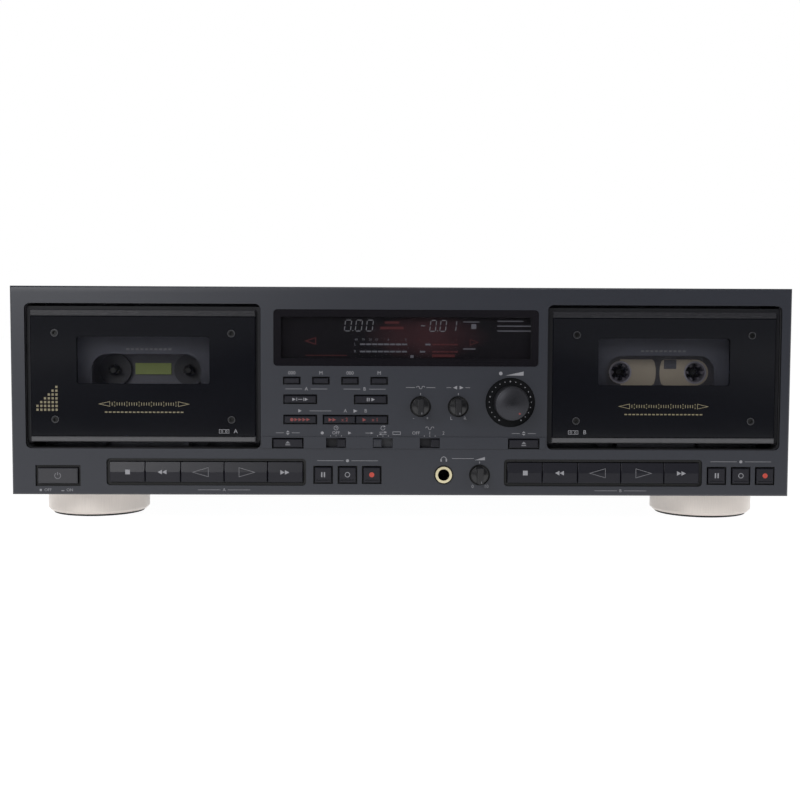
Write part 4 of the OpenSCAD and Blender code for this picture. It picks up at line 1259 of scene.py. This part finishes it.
KNOB_ROUND = 0.15
KNOB_TURNS = 14.0
KNOB_RIM = (1.5, 9.3)
RING_SUNK = 0.6
RING_R = 13.65
RING_HOLE_R = 7.0
DOT_SWEEP = 297.0
DOT_SMALL, DOT_LARGE = 0.55, 0.8
LARGE_DOTS = 5
RIB_SIZE = (0.3, 8.6, 0.24)
RIB_DEPTH = -5.6
POINTER_TURN = -53.0
POINTER_R = 6.8
SLIDER_RIB = (0.45, 0.35, 3.2)
SLIDER_RIB_PITCH = 1.1


class DECK_OT_knobs(Operator):
    """Knobs, slide switches and the dots round the level knob"""

    bl_idname = "deck.knobs"
    bl_label = "Knobs and switches"

    def execute(self, context):
        look = settings()
        dress(SMALL_KNOBS, moulded("knob_satin_black", look.knobs, 0.3, 0.4, 0.06))
        dress(SLIDERS, moulded("slider_black", look.keys, 0.4, 0.4, 0.08, specular=0.3))
        dress(["direction_switch"], moulded("slider_grey", look.panel, 0.4, 0.4, 0.08))
        dress(["level_knob"], self.turned_face(look))
        soften(SMALL_KNOBS + SLIDERS, KNOB_ROUND)
        self.dots(look)
        self.ribs(look)
        self.highlights_and_pointer()
        self.slider_ribs()
        return {"FINISHED"}

    def turned_face(self, look):
        """Fine turning marks round the knob's own axis."""
        finish = Finish("level_knob_turned")
        u, v, _ = middle("level_knob")
        centre = at(u, v)
        radius = distance(finish.x - centre.x, finish.z - centre.z) / MM
        rings = (radius * KNOB_TURNS).maths("SINE")
        rim = radius.ramp(*KNOB_RIM)
        cloud = finish.noise(4)
        return finish.surface(
            base_color=mottled(finish, look.level_face, cloud, 0.1),
            metallic=0.7,
            roughness=0.18 + rings * 0.02 + cloud * 0.04 + rim * 0.28,
            normal=finish.bump(rings, 0.08, 0.02),
        )

    def dots(self, look):
        """A matt black ring in the knob's recess, and the dots printed on it."""
        u, v, _ = middle("level_knob")
        ring = Print(RING_SUNK)
        ring.ring(u, v, RING_R, RING_R - RING_HOLE_R, "matt", 96)
        ring.make("level_ring", "cabinet")
        first = math.radians(90 - DOT_SWEEP / 2)
        every = []
        for layer, (name, count, dia) in enumerate((
            ("dots_small", look.dot_count, DOT_SMALL), ("dots_large", LARGE_DOTS, DOT_LARGE),
        )):
            every.append(grown(
                name, "dots", count=count, radius=look.dot_radius, first=first,
                step=math.radians(DOT_SWEEP / (count - 1)), size=mm(dia, PRINT_T, 0.0),
                centre=at(u, v, RING_SUNK - PRINT_T - PRINT_T * (layer + 0.5)),
                material=inks("soft"),
            ))
        settle(joined("level_dots", every), "cabinet")

    def ribs(self, look):
        """Grip ribs round the level knob, in its own finish."""
        u, v, _ = middle("level_knob")
        low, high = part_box("level_knob")
        radius = (high.x - low.x) / 2
        ribs = grown(
            "level_knob_ribs", "ribs", count=look.rib_count, radius=radius, first=0.0,
            step=2 * math.pi / look.rib_count, size=mm(*RIB_SIZE), centre=at(u, v, RIB_DEPTH),
            material=NODES["level_knob"].material_slots[0].material,
        )
        settle(ribs, "level_knob")

    def highlights_and_pointer(self):
        """A short light line at the foot of each grip bar, a painted highlight where the bar's end
        catches light from the floor, and a red spot on the level knob.
        """
        # Painted highlight: each light line stands for light caught by the foot of a grip bar.
        for knob in SMALL_KNOBS:
            u, v, depth = middle(knob)
            line = Print(depth)
            line.box(u + 0.5, v - 3.3, 0.35, 1.1, "grey")
            line.make(f"{knob}_pointer", knob)
        u, v, depth = middle("level_knob")
        turn = math.radians(POINTER_TURN)
        spot = Print(depth + 0.8, 0.3)
        spot.disc(u + POINTER_R * math.cos(turn), v + POINTER_R * math.sin(turn), 0.55, "red")
        spot.make("level_knob_pointer", "level_knob")

    def slider_ribs(self):
        """Three ribs on each slide switch, in its own finish."""
        for name in SLIDERS:
            u, v, depth = middle(name)
            ribs = grown(
                f"{name}_ribs", "row", count=3, start=at(u - SLIDER_RIB_PITCH, v, depth - 0.1),
                step=mm(SLIDER_RIB_PITCH, 0.0, 0.0), size=mm(*SLIDER_RIB),
                material=NODES[name].material_slots[0].material,
            )
            settle(ribs, name)


DISPLAY_DEPTH = 2.9
DISPLAY_EDGE = 4.0
GLOW_PLACE = (14.0, 88.0)
GLOW_REACH = (34.0, 13.0)
COUNTER_V = 93.9
COUNTER_H = 6.0
COUNTERS = (("0.00", -23.9, 18.0), ("-0.01", 19.9, 22.4))
# The level of each row of bars and where its highest peak stands
LEVEL_ROWS = ((83.6, 14.3), (79.6, 11.3))
LEVEL_H = 0.9
SCALE_V = 86.2
SCALE_H = 1.2
SCALE_MARKS = {
    "dim": (("40", -25.4), ("30", -21.5), ("20", -17.6), ("10", -14.2), ("6", -7.6), ("3", 2.0)),
    "ember": (("0", 9.0), ("2", 14.5), ("4", 19.6), ("6", 24.8), ("8", 30.0)),
}
# The middle, size and colour of each plain block
DISPLAY_BLOCKS = (
    (39.6, 93.6, 2.7, 2.7, "dim"),
    (5.5, 76.9, 1.8, 1.5, "dim"),
    (38.3, 96.1, 9.0, 0.5, "dim"),
    (37.2, 81.2, 6.8, 0.6, "dim"),
    (22.9, 77.4, 12.6, 1.5, "ember"),
    (-42.0, 77.4, 23.0, 0.6, "cinder"),
    (-5.6, 95.6, 8.0, 1.3, "ember"),
    (-5.6, 92.6, 13.0, 1.5, "ember"),
)
SIDE_LINES_U = 52.6
SIDE_LINES = ((96.6, 14.5), (93.9, 21.0), (91.2, 19.0))
# Which of the seven segments, a to g from the top, make each figure
SEGMENTS = {"0": "abcdef", "1": "bc", "-": "g"}
FIGURE_W, FIGURE_STROKE, FIGURE_GAP, FIGURE_LEAN = 0.56, 0.075, 0.03, 0.12


class DECK_OT_display(Operator):
    """Display window, its figures and level bars"""

    bl_idname = "deck.display"
    bl_label = "Display"

    def execute(self, context):
        dress(["display_window"], self.window())
        dress(["display_module"], self.tube())
        marks = Print(DISPLAY_DEPTH)
        for text, u, w in COUNTERS:
            self.figures(marks, text, u, w)
        self.signs(marks)
        marks.make("display_marks", "cabinet")
        self.bars()
        return {"FINISHED"}

    def window(self):
        """A smoked window in an opaque border."""
        finish = Finish("display_smoke")
        wipe = finish.noise(12, 3.0, (3, 1, 1))
        low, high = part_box("display_window")
        clear = finish.inside_front(low, high, DISPLAY_EDGE)
        smoke = mottled(finish, (0.04, 0.035, 0.045), wipe, 0.15)
        border = mottled(finish, (0.085, 0.08, 0.095), wipe, 0.1)
        return finish.surface(
            base_color=finish.mix(clear, border, smoke),
            roughness=0.05 + wipe * 0.05,
            alpha=0.98 - clear * (0.7 - wipe * 0.04),
            ior=ACRYLIC_IOR,
            specular=0.15,
        )

    def tube(self):
        """The dark display, with a warm glow round its bars."""
        finish = Finish("display_tube")
        mesh = finish.noise(0.6, 2.0)
        centre = at(*GLOW_PLACE)
        off_x = (finish.x - centre.x) / (GLOW_REACH[0] * MM)
        off_z = (finish.z - centre.z) / (GLOW_REACH[1] * MM)
        spread = off_x * off_x + off_z * off_z + finish.noise(14, 2.0) * 0.6
        glow = 1 - spread.ramp(0.2, 1.3)
        return finish.surface(
            base_color=finish.mix(
                glow, linear((0.165, 0.16, 0.18)), linear((0.35, 0.235, 0.255))
            ),
            roughness=0.5 + mesh * 0.1,
            specular=0.05,
        )

    def figures(self, p, text, u, width):
        """Seven segment figures with a slight lean, spread over a width."""
        v, height = COUNTER_V, COUNTER_H
        pitch = width / len(text.replace(".", ""))
        w, stroke, gap = pitch * FIGURE_W, height * FIGURE_STROKE, height * FIGURE_GAP
        place = u - width / 2 - pitch / 2
        half, quarter = height / 2, height / 4
        across = {"a": v + half, "g": v, "d": v - half}
        upright = {"f": (-1, 1), "b": (1, 1), "e": (-1, -1), "c": (1, -1)}

        def put(*outline):
            p.poly([(x + (y - v) * FIGURE_LEAN, y) for x, y in rectangle(*outline)], "lit")

        for char in text:
            if char == ".":
                put(place + pitch / 2, v - half + stroke / 2, stroke, stroke)
                continue
            place += pitch
            for name in SEGMENTS[char]:
                if name in across:
                    put(place, across[name], w - stroke - 2 * gap, stroke)
                else:
                    side, level = upright[name]
                    put(
                        place + side * w / 2, v + level * quarter,
                        stroke, half - stroke - 2 * gap,
                    )

    def bars(self):
        """Two rows of level bars, each with a peak and a red end."""
        rows = []
        for v, peak in LEVEL_ROWS:
            for name, count, u, pitch, w, colour in (
                ("level_row", 8, -21.8, 3.3, 2.9, "dim"),
                ("level_peak", 1, peak, 0.0, 2.9, "dim"),
                ("level_over", 6, 17.8, 2.4, 2.1, "ember"),
            ):
                rows.append(printed_row(
                    name, count, (u, v), DISPLAY_DEPTH, (pitch, 0.0), (w, LEVEL_H), colour
                ))
        settle(joined("display_level_bars", rows), "cabinet")

    def signs(self, p):
        """The level scale's figures, two arrows and plain blocks in place of words."""
        for text, (v, _) in zip("LR", LEVEL_ROWS):
            p.words(text, -26.0, v, 1.6, "dim")
        for colour, marks in SCALE_MARKS.items():
            for text, u in marks:
                p.words(text, u, SCALE_V, SCALE_H, colour)
        p.open_point(-50.8, 85.3, -6.6, 4.4, 0.55, "ember")
        p.open_point(40.0, 84.9, 5.0, 3.6, 0.4, "cinder")
        for u, v, w, h, colour in DISPLAY_BLOCKS:
            p.box(u, v, w, h, colour)
        for v, w in SIDE_LINES:
            p.box(SIDE_LINES_U + w / 2, v, w, 0.55, "dim")


# Levels of the panel's print above the panel's lower edge
POWER_V = 2.5
DECK_V = 2.8
SQUARES_V = 19.2
PHONES_V = 20.6
SWITCH_V = 34.6
SWITCH_SIGN_V = 37.4
COPY_V = 46.8
COUNTER_LINE_V = 58.9
KNOBS_V = 59.9
COUNTER_KEY_V = 67.7
LEVEL_V = 67.8
LINE_W = 0.22
LEGEND_H, SMALL_H = 1.9, 1.7
SWITCH_HALF = 3.0
SWITCH_STEP = 7.6
# Each slide switch, the end that it stands at, its sign and the words at its places
SWITCH_SIGNS = (
    ("timer_switch", 1, "clock", (None, "OFF", None)),
    ("direction_switch", -1, "loop", (None, None, None)),
    ("noise_switch", 1, "wave", ("OFF", "1", "2")),
)
# What stands at both ends of each small knob's turn
KNOB_ENDS = {
    "bias_knob": ("-", "+"),
    "balance_knob": ("L", "R"),
    "phones_level_knob": ("0", "10"),
}


class DECK_OT_legends(Operator):
    """Marks printed on the panel"""

    bl_idname = "deck.legends"
    bl_label = "Panel print"

    def execute(self, context):
        p = Print(0.0)
        self.counters(p)
        self.switches(p)
        self.scales(p)
        self.rows(p)
        p.make("panel_print", "cabinet")
        return {"FINISHED"}

    def rule(self, p, u, v, w):
        p.box(u, v, w, LINE_W, "soft")

    def rules_beside(self, p, ends, centre, v, gap):
        """Lines from both ends to a gap round what stands at the centre."""
        for end, side in zip(ends, (-1, 1)):
            self.rule(p, (end + centre + side * gap) / 2, v, abs(end - centre) - gap)

    def counters(self, p):
        for i, text in enumerate(("000", "M", "000", "M")):
            p.words(text, middle(f"counter_key_{i + 1}")[0], COUNTER_KEY_V, LEGEND_H, "soft")
        for text, first, last in (("A", 1, 2), ("B", 3, 4)):
            left = middle(f"counter_key_{first}")[0] - 3.6
            right = middle(f"counter_key_{last}")[0] + 3.6
            centre = (left + right) / 2
            p.words(text, centre, COUNTER_LINE_V, LEGEND_H, "soft")
            self.rules_beside(p, (left, right), centre, COUNTER_LINE_V, 2.4)
        p.point(-56.2, COPY_V, 1.9, 1.9, "soft")
        self.rule(p, -45.0, COPY_V, 12.0)
        p.words("A", -31.2, COPY_V, LEGEND_H, "soft")
        p.point(-25.6, COPY_V, 2.2, 1.9, "soft")
        p.words("B", -20.0, COPY_V, LEGEND_H, "soft")

    def switches(self, p):
        for name, side, sign, words in SWITCH_SIGNS:
            u = middle(name)[0] - side * SWITCH_HALF
            for step in (-SWITCH_HALF, 0.0, SWITCH_HALF):
                p.box(u + step, 33.0, 0.3, 0.8, "soft")
            getattr(self, sign)(p, u, SWITCH_SIGN_V)
            for text, off in zip(words, (-SWITCH_STEP, 0.0, SWITCH_STEP)):
                if text:
                    p.words(text, u + off, SWITCH_V, SMALL_H, "soft")
        u = middle("timer_switch")[0] - SWITCH_HALF
        p.disc(u - SWITCH_STEP, SWITCH_V, 0.85, "soft")
        p.point(u + SWITCH_STEP, SWITCH_V, 1.8, 1.8, "soft")
        u = middle("direction_switch")[0] + SWITCH_HALF
        self.arrow(p, u - SWITCH_STEP, SWITCH_V, 1)
        for level, side in ((35.1, 1), (34.0, -1)):
            self.arrow(p, u, level, side)
        p.frame(u + SWITCH_STEP, SWITCH_V, 4.4, 1.7, 0.25, "soft")
        for deck in DECKS:
            u = middle(f"door_key_{deck}")[0]
            for level, way in ((35.3, 1), (34.0, -1)):
                low = level - way * 0.4
                p.poly([(u - way, low), (u + way, low), (u, level + way * 0.6)], "soft")
            for side in (-1, 1):
                self.rule(p, u + side * 4.4, SWITCH_V, 4.4)

    def arrow(self, p, u, v, side):
        p.box(u - side * 0.6, v, 3.0, 0.25, "soft")
        p.point(u + side * 1.6, v, side * 1.5, 1.1, "soft")

    def clock(self, p, u, v):
        p.ring(u, v, 1.25, 0.25, "soft")
        p.box(u, v + 0.4, LINE_W, 0.8, "soft")
        self.rule(p, u + 0.35, v, 0.7)

    def loop(self, p, u, v):
        p.arc(u, v, 1.25, 0.25, 60, 360, "soft", 20)
        p.point(u + 1.0, v + 0.9, 1.0, 1.1, "soft")

    def wave(self, p, u, v):
        for i in range(3):
            side = 1 if i % 2 == 0 else -1
            first = 0 if side > 0 else 180
            p.arc(u + (i - 1) * 1.5, v, 0.87, 0.24, first, first + 180, "soft", 10)

    def wedge(self, p, u, v, w, h):
        p.poly([(u - w / 2, v - h / 2), (u + w / 2, v - h / 2), (u + w / 2, v + h / 2)], "soft")

    def scales(self, p):
        for knob, ends in KNOB_ENDS.items():
            u, v, _ = middle(knob)
            p.box(u, v + 6.9, 0.35, 1.1, "soft")
            for text, side in zip(ends, (-1, 1)):
                p.words(text, u + side * 3.8, v - 6.5, 1.8, "soft")
        bias, balance, level, phones = (
            middle(node)[0]
            for node in ("bias_knob", "balance_knob", "level_knob", "headphone_socket")
        )
        self.wave(p, bias, KNOBS_V)
        for side in (-1, 1):
            p.point(balance + side * 1.8, KNOBS_V, side * 2.2, 2.0, "soft")
            self.rule(p, bias + side * 5.6, KNOBS_V, 5.0)
            self.rule(p, balance + side * 5.2, KNOBS_V, 2.6)
        p.disc(level - 5.4, LEVEL_V, 1.0, "soft")
        self.wedge(p, level + 2.2, LEVEL_V, 10.0, 2.2)
        p.arc(phones, PHONES_V - 0.5, 1.6, 0.35, 0, 180, "soft", 14)
        for side in (-1, 1):
            p.box(phones + side * 1.45, PHONES_V - 1.0, 0.8, 1.5, "soft")
        self.rule(p, 33.9, PHONES_V, 12.0)
        self.wedge(p, 43.3, PHONES_V, 5.6, 1.8)

    def rows(self, p):
        for deck in DECKS:
            reverse, play, pause, mute, record = (
                middle(f"deck_{deck}_{key}_key")[0]
                for key in ("reverse", "play", "pause", "mute", "record")
            )
            centre = (reverse + play) / 2
            p.words(deck.upper(), centre, DECK_V, SMALL_H, "soft")
            for side in (-1, 1):
                self.rule(p, centre + side * 8.2, DECK_V, 12.4)
            p.disc(mute, SQUARES_V, 0.85, "soft")
            self.rules_beside(p, (pause - 3.4, record + 3.4), mute, SQUARES_V, 2.2)
        u = middle("power_button")[0]
        p.box(u - 9.6, POWER_V, 1.2, 1.2, "soft")
        p.words("OFF", u - 5.6, POWER_V, 1.6, "soft")
        p.box(u + 2.6, 2.1, 1.6, 0.45, "soft")
        p.words("ON", u + 6.4, POWER_V, 1.6, "soft")


SCALE_PLACE = {"a": (0.4, 50.2), "b": (0.0, 49.8)}
# Count, place of the first, pitch and size of the ticks, the long ticks and the dashes
SCALE_ROWS = (
    (27, (-17.55, 0.0), 1.35, (0.42, 1.7)),
    (6, (-16.2, 0.0), 6.75, (0.55, 2.6)),
    (20, (-20.9, -4.5), 2.2, (1.5, 0.7)),
)
LETTER_U = {"a": 44.4, "b": -50.0}
LETTER_V = 35.2
PLATE_FACE = 10.4
PLATE_LINE = (-10.2, 80.2)
STAIR_PLACE = (-58.2, 46.9)
STAIR_PITCH = 2.1
STAIR_SQUARE = (1.25, 1.25)


class DECK_OT_door_print(Operator):
    """Gold tape scales, deck letters and a stair of squares on the lenses"""

    bl_idname = "deck.door_print"
    bl_label = "Lens print"

    def execute(self, context):
        for deck in DECKS:
            u, _, depth = middle(f"door_lens_{deck}")
            off, v = SCALE_PLACE[deck]
            self.letter(deck, u, u + off, v, depth)
            self.scale(deck, u + off, v, depth)
            self.plate_line(deck, u)
        self.stair()
        return {"FINISHED"}

    def letter(self, deck, u, centre, v, depth):
        """The scale's two arrow heads, a small cassette and the deck's letter."""
        p = Print(depth)
        for side in (-1, 1):
            p.open_point(centre + side * 22.0, v, side * 6.6, 3.0, 0.3, "gold")
        place = u + LETTER_U[deck]
        p.frame(place, LETTER_V, 5.6, 2.2, 0.24, "soft")
        for side in (-1.2, 1.2):
            p.ring(place + side, LETTER_V, 0.62, 0.24, "soft", 16)
        p.words(deck.upper(), place + 6.4, LETTER_V, 2.3, "soft")
        p.make(f"door_{deck}_print", f"door_{deck}")

    def scale(self, deck, u, v, depth):
        """A ruler of ticks between the two arrow heads and a row of dashes under it."""
        rows = [
            printed_row("ticks", count, (u + left, v + up), depth, (pitch, 0.0), size, "gold")
            for count, (left, up), pitch, size in SCALE_ROWS
        ]
        settle(joined(f"door_{deck}_scale", rows), f"door_{deck}")

    def plate_line(self, deck, u):
        """Faint dashes on the plate behind the window."""
        place = (u + PLATE_LINE[0], PLATE_LINE[1])
        row = printed_row(
            f"door_{deck}_plate_line", 10, place, PLATE_FACE, (2.6, 0.0), (1.8, 1.1), "grey"
        )
        settle(row, f"door_{deck}")

    def stair(self):
        """A plain rising stair of gold squares."""
        u, _, depth = middle("door_lens_a")
        left, low = u + STAIR_PLACE[0], STAIR_PLACE[1]
        steps = [
            printed_row(
                "stair", i + 2, (left + i * STAIR_PITCH, low), depth, (0.0, STAIR_PITCH),
                STAIR_SQUARE, "gold",
            )
            for i in range(6)
        ]
        settle(joined("door_a_stair", steps), "door_a")


FIELD_DEPTH = 17.6
FIELD_R = 7.35
OUTER_REACH = {"left": 6.5, "right": 7.35}
PACK_R = 20.2
PACK_T = 0.2
HUB_OFFSET = 21.25
HUB_V = 68.0
HUB_SHOWN_R = 5.6
HUB_BEHIND = 0.3
RIM_R = 6.4
RIM_PROFILE = ((5.55, -0.3), (6.2, -0.3), (RIM_R, -0.12), (RIM_R, 0.0), (5.55, 0.0))


class DECK_OT_cassette(Operator):
    """The cassette in the right door: shell, tape packs in the sunk field and hub rims"""

    bl_idname = "deck.cassette"
    bl_label = "Cassette"

    def execute(self, context):
        look = settings()
        u, _, _ = middle("door_lens_b")
        dress(["loaded_cassette"], self.shell(look, u))
        cream = moulded("cassette_pack", look.discs, 0.5, 0.6)
        rim = moulded("cassette_hub_rim", look.hub_rim, 0.35)
        for name, side in zip(SIDES, (-1, 1)):
            hub_u = u + side * HUB_OFFSET
            self.pack(f"cassette_pack_{name}", hub_u, -side, OUTER_REACH[name], cream)
            centre = at(hub_u, HUB_V, FIELD_DEPTH)
            ring = turned(f"cassette_hub_rim_{name}", RIM_PROFILE, centre, rim)
            settle(ring, "door_b")
        patch = Print(FIELD_DEPTH - PACK_T)
        patch.box(u + 7.0, HUB_V + 4.6, 7.0, 5.2, "slate")
        patch.make("cassette_patch", "door_b")
        return {"FINISHED"}

    def shell(self, look, u):
        """Smoked shell, and hubs where the shell's holes show them."""
        finish = Finish("cassette_shell_and_hubs")
        centre = at(u, HUB_V)
        off_x = abs(finish.x - centre.x) / MM - HUB_OFFSET
        off_z = (finish.z - centre.z) / MM
        deep = finish.y > FACE_Y + (FIELD_DEPTH + HUB_BEHIND) * MM
        hub = (distance(off_x, off_z) < HUB_SHOWN_R) * deep
        grain = finish.noise(0.5)
        shell = mottled(finish, look.shell, finish.noise(20), 0.1)
        return finish.surface(
            base_color=finish.mix(hub, shell, linear(look.hubs)), roughness=0.3 + grain * 0.08
        )

    def pack(self, name, u, inward, outer_reach, material):
        """A tape pack, cut to the sunk field and open where the hub's hole is."""
        outer = []
        for x, y in circle(0.0, 0.0, 1.0, 96):
            reach = outer_reach if x * inward < 0 else min(PACK_R, FIELD_R / max(abs(y), 1e-6))
            outer.append((u + x * reach, HUB_V + y * reach))
        sheet = Print(FIELD_DEPTH, PACK_T)
        sheet.band(outer, circle(u, HUB_V, RIM_R, 96), "dark")
        piece = sheet.make(name, "door_b")
        piece.data.materials[0] = material


LINES = ("in", "out")
COLLAR_PROFILE = ((4.2, 0.0), (6.3, 0.0), (6.3, 0.9), (6.0, 1.3), (4.2, 1.3))
REAR_LETTER_H = 2.6


class DECK_OT_rear(Operator):
    """Collars and marks round the rear sockets"""

    bl_idname = "deck.rear"
    bl_label = "Rear"

    def execute(self, context):
        white = moulded("collar_white", (0.8, 0.79, 0.76), 0.45)
        red = moulded("collar_red", (0.62, 0.1, 0.1), 0.45)
        mounts = {m["name"]: m for m in frame["record"]["mounts"]}
        for side, material in (("left", white), ("right", red)):
            for line in LINES:
                place = Vector(mounts[f"line_{line}_{side}"]["pos_m"])
                centre = Vector((place.x, REAR_Y, place.z))
                collar = turned(f"phono_collar_{line}_{side}", COLLAR_PROFILE, centre, material)
                settle(collar, "cabinet")
        self.marks({
            name: (-m["pos_m"][0] / MM, (m["pos_m"][2] - PANEL_Z) / MM)
            for name, m in mounts.items()
        })
        return {"FINISHED"}

    def marks(self, places):
        """A frame with plain words round the sockets, and a wave over the mains gland."""
        p = Print(0.0, rear=True)
        spots = {(line, side): places[f"line_{line}_{side}"] for line in LINES for side in SIDES}
        for side in SIDES:
            u, v = max((spots[line, side] for line in LINES), key=lambda place: place[1])
            p.words(side[0].upper(), u, v + 10.6, REAR_LETTER_H, "soft")
        edge = max(u for u, _ in spots.values())
        for line in LINES:
            v = spots[line, "left"][1]
            p.words(line.upper(), edge + 13.4, v, REAR_LETTER_H, "soft")
            p.box(edge + 8.6, v, 2.4, 0.3, "soft")
        us, vs = zip(*spots.values())
        p.frame(
            (min(us) + max(us)) / 2 + 5.2, (min(vs) + max(vs)) / 2 + 2.4,
            max(us) - min(us) + 30.0, max(vs) - min(vs) + 24.0, 0.3, "soft",
        )
        u, v = places["mains_gland"]
        for turn, first in ((-1, 0), (1, 180)):
            p.arc(u + turn * 1.7, v + 15.0, 1.95, 0.5, first, first + 180, "soft", 12)
        p.make("rear_print", "cabinet")


class DECK_PT_tools(Panel):
    """Lists the deck's pieces"""

    bl_idname = "DECK_PT_tools"
    bl_label = "Double cassette deck"
    bl_space_type = "VIEW_3D"
    bl_region_type = "UI"
    bl_category = "Deck"

    def draw(self, context):
        for kind in OPERATORS:
            self.layout.operator(kind.bl_idname)
        for name in DeckSettings.__annotations__:
            self.layout.prop(context.scene.deck, name)


OPERATORS = (
    DECK_OT_stage, DECK_OT_cabinet, DECK_OT_doors, DECK_OT_keys, DECK_OT_knobs, DECK_OT_display,
    DECK_OT_legends, DECK_OT_door_print, DECK_OT_cassette, DECK_OT_rear,
)
CLASSES = (DeckSettings, *OPERATORS, DECK_PT_tools)


def register():
    for kind in CLASSES:
        bpy.utils.register_class(kind)
    bpy.types.Scene.deck = PointerProperty(type=DeckSettings)


def unregister():
    del bpy.types.Scene.deck
    for kind in reversed(CLASSES):
        bpy.utils.unregister_class(kind)


def main():
    register()
    for kind in OPERATORS:
        group, name = kind.bl_idname.split(".")
        getattr(getattr(bpy.ops, group), name)()


if __name__ == "__main__":
    main()
